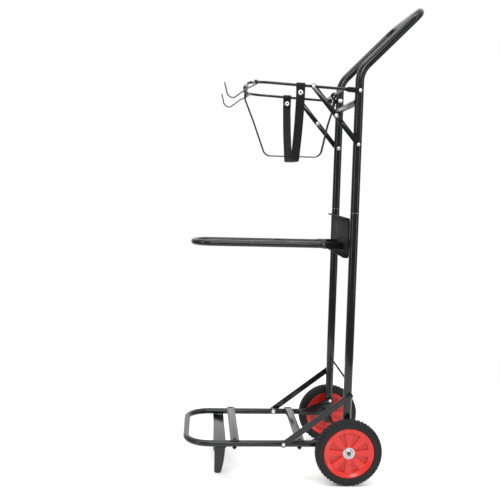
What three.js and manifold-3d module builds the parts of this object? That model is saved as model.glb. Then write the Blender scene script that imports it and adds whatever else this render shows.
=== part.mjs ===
// A wheeled folding saddle trolley: two uprights on an axle with two wheels, a push handle, a folding base,
// a folding saddle arm, and a folding wire ring with a sling of webbing that holds a bucket.
// Millimetres, +Z up. X runs from the base (-X) to the handle (+X), and -Y is the left-hand side.
import * as THREE from 'three';
import { mergeVertices } from 'three/addons/utils/BufferGeometryUtils.js';
import Module from 'manifold-3d';

const wasm = await Module();
wasm.setup();

// ---- Driving dimensions -------------------------------------------------------------------------------
const GAP = 0.3; // running gap between touching pieces
const POST_X = 147.8; // the posts stand this far behind the middle of the footprint
const POST_Y = 156; // each post's axis, from the middle plane
const POST_R = 12.5;
const POST_WALL = 1.5;
const POST_FOOT_Z = 80;
const POST_TOP_Z = 792.5; // the handle frame plugs in here

const HANDLE_BEND_Z = 1193; // where the two straight lines of the handle's rearward bend meet
const HANDLE_BEND_R = 70;
const HANDLE_REACH = 172; // cross-bar's axis, behind the posts
const HANDLE_TOP_Z = 1368;
const HANDLE_CORNER_R = 42;

const CROSS_TUBE = { x: -4, z: 1107, r: 9.5, wall: 1.2 };
const CROSS_ROD = { x: 0, z: 298, r: 3, end: 148 };

const WHEEL_R = 98;
const WHEEL_Y = 188.5;
const TYRE_WIDTH = 34;
const RIM_R = 74;
const RIM_WIDTH = 29;
const HUB_R = 19;
const HUB_HALF = 7.5; // the rim's faces are dished down to this from its middle plane
const SPOKES = 8;
const POCKET = { inner: 22, outer: 59, narrow: 0.1, wide: 0.2 }; // half-widths as angles
const RIM_WEB = 8; // thickness of the wall between the pockets of the two faces
const WASHER_R = 17.5;
const AXLE_X = 2;
const AXLE_R = 5;
const AXLE_END_Y = 204;
const BUSH_R = 8;

const RING = { pivotZ: 1138, y: 170.3, front: -313, rise: 16, corner: 60, r: 4 };
const RING_REAR_X = -47;
const RING_LUG = { inner: 168.8, outer: 171.5, r: 7.5, reach: 30 };
const HOOK = { y: 152, tipX: -381, tipZ: 1150, lowX: -357, lowZ: 1106, r: 2 };

const STRAP_WIDTH = 25;
const STRAP_THICK = 2;
const STRAP_SIDE_X = -169;
const EYELET_R = 4.2;

const BRACE = { footZ: 987, armX: -133.5, width: 15, thick: 2.5, inner: 171.8, tail: 18 };
const PIN_R = 3.5; // shanks of the brace rivets
const PIVOT_R = 4; // shanks of the larger pivots

const BASE_Z = 112;
const BASE_R = 9.5;
const BASE_WALL = 1.2;
const BASE_FRONT_X = -470.5;
const BASE_REAR_X = -37;
const BASE_CORNER_R = 70;
const BASE_PIVOT = { x: 2, z: 153 };
const PLATE = { inner: 140.2, outer: 143.2, front: -100, low: 104 };
const DECK_BAR_X = [-328, -137];
const DECK_BAR = { width: 26, thick: 3 };
const DECK_BOLT = { r: 3, headR: 5.4, nutR: 5.5, nutHeight: 6, tail: 2 };
const STAND = { x: -369, width: 34, thick: 3 };
const FOOT = { y: 92, top: 34, bottom: 21, thick: 16 };

const STAY_RAIL = { x: -186, z: 114 };
const STAY_POST = { x: 2, z: 258 };
const STAY = { width: 18, thick: 3.6, inner: 169.1, tip: 3 }; // tip: the end's centre, past the stud

const ARM = { y: 50, r: 9.5, wall: 1.2, front: -468, rear: -46, pivotX: -70, z: 690 };
const BRACKET = { x: -13.5, thick: 3, low: 661, high: 777, topFlange: 14, lowFlange: 12 };
const BRACKET_EAR = { thick: 3, r: 10 }; // half-height, and radius of the rounded end
const BRACKET_SLOT = { y: 136, low: 750, high: 759, r: 3 };

// ---- Materials ----------------------------------------------------------------------------------------
const finish = (color, roughness, metalness) =>
  new THREE.MeshStandardMaterial({ color, roughness, metalness });
const paint = finish(0x0b0c0d, 0.28, 0.2);
const zinc = finish(0xc6c8ca, 0.3, 1);
const darkSteel = finish(0x2b2c2e, 0.45, 0.8);
const redPlastic = finish(0xe0161c, 0.32, 0);
const rubber = finish(0x17181a, 0.85, 0);
const blackPlastic = finish(0x121314, 0.5, 0);
const webbing = finish(0x0f0f11, 0.9, 0);

// ---- Solids -------------------------------------------------------------------------------------------
const vec = (x, y, z) => new THREE.Vector3(x, y, z);

/** A closed geometry with shared corners, no zero-area faces, and its faces pointing out. */
function solid(geometry) {
  geometry.deleteAttribute('normal');
  geometry.deleteAttribute('uv');
  const merged = mergeVertices(geometry, 1e-3);
  const corners = merged.index.array;
  const position = merged.attributes.position;
  const [a, b, c] = [vec(0, 0, 0), vec(0, 0, 0), vec(0, 0, 0)];
  const kept = [];
  let volume = 0;
  for (let i = 0; i < corners.length; i += 3) {
    const [p, q, r] = corners.slice(i, i + 3);
    if (p === q || q === r || r === p) continue;
    kept.push([p, q, r]);
    a.fromBufferAttribute(position, p);
    b.fromBufferAttribute(position, q);
    c.fromBufferAttribute(position, r);
    volume += a.dot(b.cross(c));
  }
  const faces = volume < 0 ? kept.map(([p, q, r]) => [p, r, q]) : kept;
  merged.setIndex(faces.flat());
  return merged;
}

function toManifold(geometry) {
  const mesh = new wasm.Mesh({
    numProp: 3,
    vertProperties: new Float32Array(geometry.attributes.position.array),
    triVerts: new Uint32Array(geometry.index.array),
  });
  return new wasm.Manifold(mesh);
}

function fromManifold(body) {
  const mesh = body.getMesh();
  const geometry = new THREE.BufferGeometry();
  geometry.setAttribute('position', new THREE.BufferAttribute(mesh.vertProperties, 3));
  geometry.setIndex(new THREE.BufferAttribute(mesh.triVerts, 1));
  return geometry;
}

const join = (first, ...rest) =>
  fromManifold(rest.reduce((body, other) => body.add(toManifold(other)), toManifold(first)));
const cut = (first, ...rest) =>
  fromManifold(rest.reduce((body, other) => body.subtract(toManifold(other)), toManifold(first)));

/** A path of straight runs between knots, so that a sweep along it has a section at each knot only. */
class KnotPath extends THREE.Curve {
  constructor(knots) {
    super();
    this.knots = knots;
    this.runs = knots.length - 1;
  }

  getPointAt(u) {
    const run = Math.min(Math.floor(u * this.runs + 1e-6), this.runs - 1);
    return this.knots[run].clone().lerp(this.knots[run + 1], u * this.runs - run);
  }

  getTangentAt(u) {
    const knot = Math.round(u * this.runs);
    const direction = (run) => this.knots[run + 1].clone().sub(this.knots[run]).normalize();
    const before = direction(Math.max(knot - 1, 0));
    const after = direction(Math.min(knot, this.runs - 1));
    return before.add(after).normalize();
  }
}

/** The knots of a line through points whose corners are rounded, with bendSteps chords to a right angle. */
function rounded(points, radius, bendSteps = 5) {
  const knots = [points[0].clone()];
  for (let i = 1; i < points.length - 1; i += 1) {
    const into = points[i].clone().sub(points[i - 1]).normalize();
    const out = points[i + 1].clone().sub(points[i]).normalize();
    const turn = into.angleTo(out);
    const r = Array.isArray(radius) ? radius[i - 1] : radius;
    const start = points[i].clone().addScaledVector(into, -r * Math.tan(turn / 2));
    const inward = out.clone().sub(into).normalize();
    const centre = points[i].clone().addScaledVector(inward, r / Math.cos(turn / 2));
    const axis = into.clone().cross(out).normalize();
    const spoke = start.sub(centre);
    const steps = Math.max(2, Math.round((bendSteps * turn) / (Math.PI / 2)));
    for (let k = 0; k <= steps; k += 1) {
      knots.push(spoke.clone().applyAxisAngle(axis, (turn * k) / steps).add(centre));
    }
  }
  knots.push(points[points.length - 1].clone());
  return knots;
}

/** Corner points of a regular polygon, as a circle's stand-in. */
function circle(r, sides, x = 0, y = 0) {
  return Array.from({ length: sides }, (_, i) => {
    const angle = ((i + 0.5) * 2 * Math.PI) / sides;
    return new THREE.Vector2(x + r * Math.cos(angle), y + r * Math.sin(angle));
  });
}

/** A round bar along the knots, hollow where a bore radius is given. */
function tube(knots, r, bore = 0, sides = 12) {
  const section = new THREE.Shape(circle(r, sides));
  if (bore > 0) section.holes.push(new THREE.Path(circle(bore, sides)));
  const path = new KnotPath(knots);
  return solid(new THREE.ExtrudeGeometry(section, { steps: path.runs, extrudePath: path }));
}

/** A piece turned about Y: profile is a list of [radius, y], closed on itself or on the axis. */
function turned(profile, segments = 12, phase = Math.PI / segments) {
  const points = profile.map(([r, y]) => new THREE.Vector2(r, y));
  return solid(new THREE.LatheGeometry(points, segments, phase));
}

/** The same, about the Z direction: profile is a list of [radius, z]. */
const turnedUpright = (profile, segments) => turned(profile, segments).rotateX(Math.PI / 2);

/** A plate cut to an outline in the X-Z plane, from y = from to y = to. Holes are lists of points. */
function sidePlate(outline, from, to, holes = []) {
  const shape = new THREE.Shape(outline);
  holes.forEach((points) => shape.holes.push(new THREE.Path(points)));
  const plate = new THREE.ExtrudeGeometry(shape, { depth: Math.abs(to - from), bevelEnabled: false });
  plate.rotateX(Math.PI / 2).translate(0, Math.max(from, to), 0);
  return solid(plate);
}

/** A block between two corners. */
function block(low, high) {
  const size = high.map((value, i) => value - low[i]);
  const middle = high.map((value, i) => (value + low[i]) / 2);
  return solid(new THREE.BoxGeometry(...size).translate(...middle));
}

/** A cylinder along Y for cutting a hole. */
const drill = (r, x, z, from, to, sides = 8) => sidePlate(circle(r, sides, x, z), from, to);

/** An outline with a straight middle and two round ends, from one point to the other, as [x, z] pairs. */
function stadium([ax, az], [bx, bz], r, steps = 6) {
  const angle = Math.atan2(bz - az, bx - ax);
  const end = (x, z, start) =>
    Array.from({ length: steps + 1 }, (_, i) => {
      const turn = start + (Math.PI * i) / steps;
      return new THREE.Vector2(x + r * Math.cos(turn), z + r * Math.sin(turn));
    });
  return [...end(bx, bz, angle - Math.PI / 2), ...end(ax, az, angle + Math.PI / 2)];
}

/** The outline of a band of even thickness whose middle line is a list of points in a plane. */
function band(line, thickness) {
  const side = (sign) =>
    line.map((point, i) => {
      const before = line[Math.max(i - 1, 0)];
      const after = line[Math.min(i + 1, line.length - 1)];
      const along = after.clone().sub(before).normalize();
      return new THREE.Vector2(-along.y, along.x).multiplyScalar((sign * thickness) / 2).add(point);
    });
  return [...side(1), ...side(-1).reverse()];
}

/** The two sides: side is the sign of Y. */
const SIDES = [
  { name: 'left', side: -1 },
  { name: 'right', side: 1 },
];

/** A rivet or bolt along Y on one side: profile is a list of [radius, distance from the middle plane]. */
function lateralPin(profile, side, x, z, segments = 8) {
  return turned(profile.map(([r, y]) => [r, side * y]), segments).translate(x, 0, z);
}

/** Profile of a shank between two round heads; each head is [radius, inner distance, outer distance]. */
function rivet(shank, [r1, from1, to1], [r2, from2, to2]) {
  return [[0, from1], [r1, from1], [r1, to1], [shank, to1], [shank, from2], [r2, from2], [r2, to2], [0, to2]];
}

// ---- Assembly -----------------------------------------------------------------------------------------
const trolley = new THREE.Group();
trolley.position.x = POST_X; // every piece below is placed with X measured from the posts' axes

function add(name, geometry, material) {
  const mesh = new THREE.Mesh(geometry, material);
  mesh.name = name;
  trolley.add(mesh);
}

/** The holes of a pin of shank radius r through a post on one side. */
const postHole = (side, r, x, z) => drill(r + 0.4, x, z, side * (POST_Y - 20), side * (POST_Y + 20));

function makePosts() {
  const bore = POST_R - POST_WALL;
  for (const { name, side } of SIDES) {
    const y = side * POST_Y;
    const tubing = tube([vec(0, y, POST_FOOT_Z), vec(0, y, POST_TOP_Z)], POST_R, bore, 12);
    const rodHole = drill(CROSS_ROD.r + GAP, CROSS_ROD.x, CROSS_ROD.z, side * (POST_Y - 20), y);
    const holes = [
      postHole(side, AXLE_R, AXLE_X, WHEEL_R),
      postHole(side, PIVOT_R, BASE_PIVOT.x, BASE_PIVOT.z),
      postHole(side, PIVOT_R, STAY_POST.x, STAY_POST.z),
      rodHole,
    ];
    add(`post_${name}`, cut(tubing, ...holes), paint);

    const plug = bore - GAP;
    const cap = [[0, -3], [POST_R - 1, -3], [POST_R, -2], [POST_R, -GAP], [plug, -GAP], [plug, 9], [0, 9]];
    add(`post_cap_${name}`, turnedUpright(cap, 12).translate(0, y, POST_FOOT_Z), blackPlastic);
  }
}

function makeHandle() {
  const bore = POST_R - POST_WALL;
  const low = POST_TOP_Z + GAP;
  const line = [-1, 1].map((side) => [
    vec(0, side * POST_Y, low),
    vec(0, side * POST_Y, HANDLE_BEND_Z),
    vec(HANDLE_REACH, side * POST_Y, HANDLE_TOP_Z),
  ]);
  const points = [...line[0], ...line[1].reverse()];
  const radii = [HANDLE_BEND_R, HANDLE_CORNER_R, HANDLE_CORNER_R, HANDLE_BEND_R];
  const bar = tube(rounded(points, radii, 4), POST_R, bore, 10);

  const spigotR = bore - 2 * GAP;
  const spigot = [
    [spigotR - POST_WALL, -50],
    [spigotR, -50],
    [spigotR, 0],
    [POST_R - 0.6, 0],
    [POST_R - 0.6, 12],
    [spigotR - POST_WALL, 12],
    [spigotR - POST_WALL, -50],
  ];
  const spigots = [-1, 1].map((side) => turnedUpright(spigot, 10).translate(0, side * POST_Y, low));
  const holes = [-1, 1].flatMap((side) => [
    postHole(side, PIN_R, 0, BRACE.footZ),
    postHole(side, PIVOT_R, 0, RING.pivotZ),
  ]);
  add('handle_frame', cut(join(bar, ...spigots), ...holes), paint);
}

function makeCrossPieces() {
  const reach = POST_Y - POST_R - GAP;
  const { x, z, r, wall } = CROSS_TUBE;
  add('upper_cross_tube', tube([vec(x, -reach, z), vec(x, reach, z)], r, r - wall, 12), paint);
  const rod = CROSS_ROD;
  const rodLine = [vec(rod.x, -rod.end, rod.z), vec(rod.x, rod.end, rod.z)];
  add('lower_cross_rod', tube(rodLine, rod.r, 0, 8), paint);
}

function makeWheels() {
  const axle = [[0, -AXLE_END_Y], [AXLE_R, -AXLE_END_Y], [AXLE_R, AXLE_END_Y], [0, AXLE_END_Y]];
  add('axle', turned(axle, 12).translate(AXLE_X, 0, WHEEL_R), zinc);

  const half = TYRE_WIDTH / 2;
  const seat = RIM_R + 2.5 * GAP;
  const tyre = [
    [seat, -half + 4],
    [seat + 4, -half],
    [WHEEL_R - 9, -half],
    [WHEEL_R - 2.5, -half + 5],
    [WHEEL_R, 0],
    [WHEEL_R - 2.5, half - 5],
    [WHEEL_R - 9, half],
    [seat + 4, half],
    [seat, half - 4],
    [seat, -half + 4],
  ];
  for (const { name, side } of SIDES) {
    const place = (geometry) => geometry.translate(AXLE_X, side * WHEEL_Y, WHEEL_R);
    add(`tyre_${name}`, place(turned(tyre, 32, 0)), rubber);
    add(`rim_${name}`, place(rim()), redPlastic);
    const bore = AXLE_R + GAP;
    const inner = POST_Y + POST_R + 0.4 - WHEEL_Y;
    const outer = HUB_HALF + 0.8;
    const bush = [[bore, inner], [BUSH_R, inner], [BUSH_R, outer], [bore, outer], [bore, inner]];
    const bushBody = turned(bush.map(([r, y]) => [r, side * y]), 12);
    add(`wheel_bush_${name}`, place(bushBody), blackPlastic);
    const seatY = WHEEL_Y + outer + GAP;
    const dome = [[bore, 0], [WASHER_R, 0], [WASHER_R, 1.5], [9, 4.5], [bore, 4.5], [bore, 0]];
    const nut = dome.map(([r, y]) => [r, seatY + y]);
    add(`axle_nut_${name}`, lateralPin(nut, side, AXLE_X, WHEEL_R, 12), zinc);
  }
}

/** A moulded rim: broad spokes with wedge-shaped pockets between them, on both faces of a web. */
function rim() {
  const pocket = (index) => {
    const middle = ((index + 0.5) * 2 * Math.PI) / SPOKES;
    const at = (r, angle) => new THREE.Vector2(r * Math.cos(angle), r * Math.sin(angle));
    const { inner, outer, narrow, wide } = POCKET;
    return [
      at(inner, middle - narrow),
      at(outer, middle - wide),
      at(outer, middle + wide),
      at(inner, middle + narrow),
    ];
  };
  const bore = circle(BUSH_R + GAP, 12);
  const pockets = Array.from({ length: SPOKES }, (_, i) => pocket(i));
  const body = dished(sidePlate(circle(RIM_R, 32), -RIM_WIDTH / 2, RIM_WIDTH / 2, [bore, ...pockets]));
  const web = sidePlate(circle(RIM_R - 4, 24), -RIM_WEB / 2, RIM_WEB / 2, [circle(HUB_R, 12)]);
  const seats = [-1, 1].map((face) => {
    const [low, high] = [face * HUB_HALF, face * RIM_WIDTH].sort((p, q) => p - q);
    return turned([[0, low], [HUB_R, low], [HUB_R, high], [0, high]], 24);
  });
  return join(cut(body, ...seats), web);
}

/** Slopes the two faces of a rim in from the pockets' outer ends to the hub. */
function dished(body) {
  const { position } = body.attributes;
  for (let i = 0; i < position.count; i += 1) {
    const r = Math.hypot(position.getX(i), position.getZ(i));
    const out = THREE.MathUtils.clamp((r - HUB_R) / (POCKET.outer - HUB_R), 0, 1);
    const share = THREE.MathUtils.lerp(HUB_HALF / (RIM_WIDTH / 2), 1, out);
    position.setY(i, position.getY(i) * share);
  }
  return body;
}

/** Height of the ring's rod at a distance x from the posts. */
const ringZ = (x) => RING.pivotZ + (RING.rise * x) / RING.front;

function makeRing() {
  const start = -RING_LUG.reach;
  const line = [
    vec(start, -RING.y, ringZ(start)),
    vec(RING.front, -RING.y, ringZ(RING.front)),
    vec(RING.front, RING.y, ringZ(RING.front)),
    vec(start, RING.y, ringZ(start)),
  ];
  const rod = tube(rounded(line, RING.corner, 5), RING.r, 0, 8);
  const lugs = SIDES.map(({ side }) => {
    const outline = stadium([start - 4, ringZ(start - 4)], [0, RING.pivotZ], RING_LUG.r);
    const hole = circle(PIVOT_R + 0.4, 8, 0, RING.pivotZ);
    return sidePlate(outline, side * RING_LUG.inner, side * RING_LUG.outer, [hole]);
  });
  add('bucket_ring', join(rod, ...lugs), paint);

  const end = RING.y - RING.r - GAP;
  const z = ringZ(RING_REAR_X);
  add('ring_rear_rod', tube([vec(RING_REAR_X, -end, z), vec(RING_REAR_X, end, z)], RING.r, 0, 8), paint);

  for (const { name, side } of SIDES) {
    const pivot = rivet(PIVOT_R, [7, 140.5, 143.2], [6.5, RING_LUG.outer + GAP, RING_LUG.outer + 3.2]);
    add(`ring_pivot_rivet_${name}`, lateralPin(pivot, side, 0, RING.pivotZ), zinc);
    add(`bridle_hook_${name}`, hook(side), darkSteel);
  }
}

/** A wire hook that hangs by an eye from the ring's front corner and curls up in front of it. */
function hook(side) {
  const into = HOOK.y - (RING.y - RING.corner);
  const x = RING.front + RING.corner - Math.sqrt(RING.corner ** 2 - into ** 2);
  const z = ringZ(x);
  const eyeR = RING.r + HOOK.r + 1.3;
  const eye = solid(new THREE.TorusGeometry(eyeR, HOOK.r, 6, 10));
  const cornerTurn = Math.asin(into / RING.corner);
  eye.rotateX(Math.PI / 2).rotateZ(-side * cornerTurn).translate(x, side * HOOK.y, z);
  const y = side * HOOK.y;
  const line = [
    vec(x + 1, y, z - eyeR + 0.6),
    vec(x - 28, y, z - 22),
    vec(HOOK.lowX - 2, y, HOOK.lowZ - 2),
    vec(HOOK.lowX - 16, y, HOOK.lowZ + 12),
    vec(HOOK.tipX, y, HOOK.tipZ),
  ];
  return join(eye, tube(rounded(line, [18, 14, 12], 3), HOOK.r, 0, 6));
}

/** Middle line of a webbing end that wraps a rod at (x, z), as points in the strap's plane.
    It starts at the tail and ends on the outer run; out is 1 or -1, towards the outside of the ring. */
function wrap(x, z, out) {
  const r = RING.r + STRAP_THICK / 2 + 1.1;
  const layer = STRAP_THICK / 2 + 0.25;
  const [tailZ, meetZ] = [z - 32, z - 12];
  const around = Array.from({ length: 8 }, (_, i) => {
    const angle = -0.35 + ((Math.PI + 0.7) * i) / 7;
    return new THREE.Vector2(x - out * r * Math.cos(angle), z + r * Math.sin(angle));
  });
  const inner = x + out * (RING.r * 0.3 - layer);
  const outer = x + out * (RING.r * 0.3 + layer);
  const at = (px, pz) => new THREE.Vector2(px, pz);
  return [at(inner, tailZ), at(inner, meetZ), ...around, at(outer, meetZ), at(outer, tailZ)];
}

/** Middle line of a whole strap: a wrapped end, down, across under the bucket, and up to the other end. */
function strapLine(a, b, low) {
  const first = wrap(a.x, a.z, Math.sign(a.x - b.x));
  const second = wrap(b.x, b.z, Math.sign(b.x - a.x)).reverse();
  const [p, q] = [first[first.length - 1], second[0]];
  const corners = [vec(p.x, p.y, 0), ...low.map(([x, z]) => vec(x, z, 0)), vec(q.x, q.y, 0)];
  const run = rounded(corners, low.map((point) => point[2]), 4);
  return [...first.slice(0, -1), ...run.map((k) => new THREE.Vector2(k.x, k.y)), ...second.slice(1)];
}

function makeStraps() {
  const rodZ = ringZ(STRAP_SIDE_X);
  const sideLow = [[-150, 1035, 300], [-86, 938, 26], [86, 938, 26], [150, 1035, 300]];
  const sideLine = strapLine({ x: -RING.y, z: rodZ }, { x: RING.y, z: rodZ }, sideLow);
  const sideShape = new THREE.Shape(band(sideLine, STRAP_THICK));
  const sideBand = new THREE.ExtrudeGeometry(sideShape, { depth: STRAP_WIDTH, bevelEnabled: false });
  sideBand.rotateX(Math.PI / 2).rotateZ(Math.PI / 2).translate(STRAP_SIDE_X - STRAP_WIDTH / 2, 0, 0);
  const eyeletZ = rodZ - 20;
  const across = RING.y + 1;
  const holes = [-1, 1].map((side) => drill(EYELET_R + GAP, STRAP_SIDE_X, eyeletZ, side * 150, side * 190));
  add('strap_lateral', cut(solid(sideBand), ...holes), webbing);
  for (const { name, side } of SIDES) {
    const body = turned(eyelet().map(([r, y]) => [r, side * y]), 8);
    add(`strap_eyelet_${name}`, body.translate(STRAP_SIDE_X, side * across, eyeletZ), zinc);
  }

  const front = { x: RING.front, z: ringZ(RING.front) };
  const rear = { x: RING_REAR_X, z: ringZ(RING_REAR_X) };
  const longLow = [[-286, 1050, 300], [-250, 953, 24], [-82, 953, 24], [-62, 1050, 300]];
  const longLine = strapLine(front, rear, longLow);
  const longShape = new THREE.Shape(band(longLine, STRAP_THICK));
  const longBand = new THREE.ExtrudeGeometry(longShape, { depth: STRAP_WIDTH, bevelEnabled: false });
  longBand.rotateX(Math.PI / 2).translate(0, STRAP_WIDTH / 2, 0);
  const ends = [
    { name: 'front', out: -1, ...front },
    { name: 'rear', out: 1, ...rear },
  ];
  const drillX = ({ x, z }) => turned([[0, -20], [EYELET_R + GAP, -20], [EYELET_R + GAP, 20], [0, 20]], 12)
    .rotateZ(-Math.PI / 2).translate(x, 0, z - 20);
  add('strap_lengthwise', cut(solid(longBand), ...ends.map(drillX)), webbing);
  for (const { name, out, x, z } of ends) {
    const body = turned(eyelet(), 8).rotateZ((-out * Math.PI) / 2);
    add(`strap_eyelet_${name}`, body.translate(x + out, 0, z - 20), zinc);
  }
}

/** Profile of a hollow rivet through two layers of webbing, with its middle at y = 0. */
function eyelet() {
  const half = STRAP_THICK + 1.1;
  const lip = half + 1.2;
  return [
    [2.4, -lip], [7, -lip], [7, -half], [EYELET_R, -half],
    [EYELET_R, half], [7, half], [7, lip], [2.4, lip], [2.4, -lip],
  ];
}

function makeBraces() {
  const foot = [0, BRACE.footZ];
  const arm = [BRACE.armX, ringZ(BRACE.armX)];
  const knee = [(foot[0] + arm[0]) / 2, (foot[1] + arm[1]) / 2];
  const length = Math.hypot(arm[0] - knee[0], arm[1] - knee[1]);
  const past = [
    knee[0] + ((knee[0] - arm[0]) * BRACE.tail) / length,
    knee[1] + ((knee[1] - arm[1]) * BRACE.tail) / length,
  ];
  const hole = ([x, z]) => circle(PIN_R + 0.4, 8, x, z);
  const r = BRACE.width / 2;
  const { inner, thick } = BRACE;
  const outer = inner + thick + GAP;
  for (const { name, side } of SIDES) {
    const link = (from, to, near, pins) =>
      sidePlate(stadium(from, to, r), side * near, side * (near + thick), pins.map(hole));
    add(`brace_lower_${name}`, link(foot, knee, inner, [foot, knee]), paint);
    add(`brace_upper_${name}`, link(past, arm, outer, [knee, arm]), paint);

    const footPin = rivet(PIN_R, [6, 140.5, 143.2], [5.5, inner + thick + GAP, inner + thick + 2.8]);
    const collar = footPin.findIndex(([radius, y]) => radius === PIN_R && y > 150);
    footPin.splice(collar, 0, [PIN_R, 168.9], [6.5, 168.9], [6.5, inner - GAP], [PIN_R, inner - GAP]);
    add(`brace_foot_rivet_${name}`, lateralPin(footPin, side, ...foot), zinc);

    const kneePin = rivet(PIN_R, [6, 169.1, inner - GAP], [6.5, outer + thick + GAP, outer + thick + 3]);
    add(`brace_knee_rivet_${name}`, lateralPin(kneePin, side, ...knee), zinc);

    const head = outer + thick + GAP;
    const armPin = [
      [0, outer + 0.1],
      [PIN_R, outer + 0.1],
      [PIN_R, head],
      [5.5, head],
      [5.5, head + 1.2],
      [4, head + 2.6],
      [0, head + 2.6],
    ];
    add(`brace_ring_rivet_${name}`, lateralPin(armPin, side, ...arm), zinc);
  }
}

function makeBase() {
  const line = [
    vec(BASE_REAR_X, -POST_Y, BASE_Z),
    vec(BASE_FRONT_X, -POST_Y, BASE_Z),
    vec(BASE_FRONT_X, POST_Y, BASE_Z),
    vec(BASE_REAR_X, POST_Y, BASE_Z),
  ];
  const rail = tube(rounded(line, BASE_CORNER_R, 5), BASE_R, BASE_R - BASE_WALL, 10);
  const { x, z } = BASE_PIVOT;
  const outline = [
    new THREE.Vector2(PLATE.front, PLATE.low),
    new THREE.Vector2(-24, PLATE.low),
    ...Array.from({ length: 8 }, (_, i) => {
      const turn = -Math.PI * 0.25 + (Math.PI * 1.0 * i) / 7;
      return new THREE.Vector2(x + 12 * Math.cos(turn), z + 12 * Math.sin(turn));
    }),
    new THREE.Vector2(PLATE.front, BASE_Z + 6),
  ];
  const plates = SIDES.map(({ side }) =>
    sidePlate(outline, side * PLATE.inner, side * PLATE.outer, [circle(PIVOT_R + 0.4, 8, x, z)]));
  const welds = [-1, 1].map((side) => {
    const [low, high] = [side * (PLATE.outer - 1), side * (POST_Y - BASE_R + 0.8)].sort((p, q) => p - q);
    return block([-92, low, BASE_Z - 4], [-44, high, BASE_Z + 4]);
  });
  const boltHoles = DECK_BAR_X.flatMap((barX) => [-1, 1].map((side) =>
    turnedUpright([[0, -20], [3.4, -20], [3.4, 20], [0, 20]], 6).translate(barX, side * POST_Y, BASE_Z)));
  const stayHoles = [-1, 1].map((side) =>
    drill(PIVOT_R + 0.4, STAY_RAIL.x, STAY_RAIL.z, side * (POST_Y - 14), side * (POST_Y + 14)));
  add('base_frame', cut(join(rail, ...plates, ...welds), ...boltHoles, ...stayHoles), paint);

  for (const { name, side } of SIDES) {
    const pivot = rivet(PIVOT_R, [5.8, PLATE.inner - 3.2, PLATE.inner - GAP], [6.5, 168.9, 171.4]);
    add(`base_pivot_rivet_${name}`, lateralPin(pivot, side, x, z), zinc);
  }
  makeDeck();
  makeStand();
  makeStays();
}

/** Two flat bars across the rails, on screws sunk flush so that a box can stand on them. */
function makeDeck() {
  const low = BASE_Z + BASE_R + GAP;
  const half = DECK_BAR.width / 2;
  const reach = POST_Y + 8;
  const labels = ['front', 'rear'];
  const { r, headR, nutR, nutHeight, tail } = DECK_BOLT;
  const bore = r + 0.4;
  const neck = 0.4; // the cylindrical part of the sunk hole
  const sink = DECK_BAR.thick - neck;
  const countersink = [
    [0, -10],
    [bore, -10],
    [bore, neck],
    [bore + sink, neck + sink],
    [bore + sink, 10],
    [0, 10],
  ];
  const under = BASE_Z - BASE_R - GAP;
  const screw = [
    [0, under - nutHeight - tail],
    [r, under - nutHeight - tail],
    [r, under - nutHeight],
    [nutR, under - nutHeight],
    [nutR, under],
    [r, under],
    [r, low + neck],
    [headR, low + neck + headR - r],
    [0, low + neck + headR - r],
  ];
  DECK_BAR_X.forEach((x, i) => {
    const bar = block([x - half, -reach, low], [x + half, reach, low + DECK_BAR.thick]);
    const holes = SIDES.map(({ side }) => turnedUpright(countersink, 6).translate(x, side * POST_Y, low));
    add(`deck_bar_${labels[i]}`, cut(bar, ...holes), paint);
    for (const { name, side } of SIDES) {
      add(`deck_bolt_${labels[i]}_${name}`, turnedUpright(screw, 6).translate(x, side * POST_Y, 0), zinc);
    }
  });
}

/** The front stand: a flat bar under the rails, with a foot near each side. */
function makeStand() {
  const top = BASE_Z - BASE_R - GAP;
  const under = top - STAND.thick;
  const half = STAND.width / 2;
  const bar = block([STAND.x - half, -POST_Y - 4, under], [STAND.x + half, POST_Y + 4, top]);
  add('stand_bar', bar, paint);
  const front = STAND.x - FOOT.top / 2;
  const outline = [
    new THREE.Vector2(front, under - GAP),
    new THREE.Vector2(front + 1, 60),
    new THREE.Vector2(front + 1.5, 4),
    new THREE.Vector2(front + 5, 0),
    new THREE.Vector2(front + FOOT.bottom - 2, 0),
    new THREE.Vector2(front + FOOT.bottom + 1.5, 6),
    new THREE.Vector2(front + FOOT.bottom + 7, 28),
    new THREE.Vector2(front + FOOT.top - 2, 60),
    new THREE.Vector2(front + FOOT.top, under - GAP),
  ];
  for (const { name, side } of SIDES) {
    const near = side * (FOOT.y - FOOT.thick / 2);
    add(`foot_${name}`, sidePlate(outline, near, side * (FOOT.y + FOOT.thick / 2)), blackPlastic);
  }
}

/** The way that the post's stud leaves the stay's slot when the base starts to fold.
    While the base turns a right angle, the stay turns forwards on the rail until it lies along it. */
function slotDirection(rise) {
  const stayTurn = (Math.PI - rise) / (Math.PI / 2) - 1; // radians for each radian of the base
  const railX = STAY_RAIL.x - BASE_PIVOT.x;
  const railZ = STAY_RAIL.z - BASE_PIVOT.z;
  const tipX = railZ - stayTurn * (STAY_POST.z - STAY_RAIL.z);
  const tipZ = -railX + stayTurn * (STAY_POST.x - STAY_RAIL.x);
  return Math.atan2(-tipZ, -tipX);
}

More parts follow.
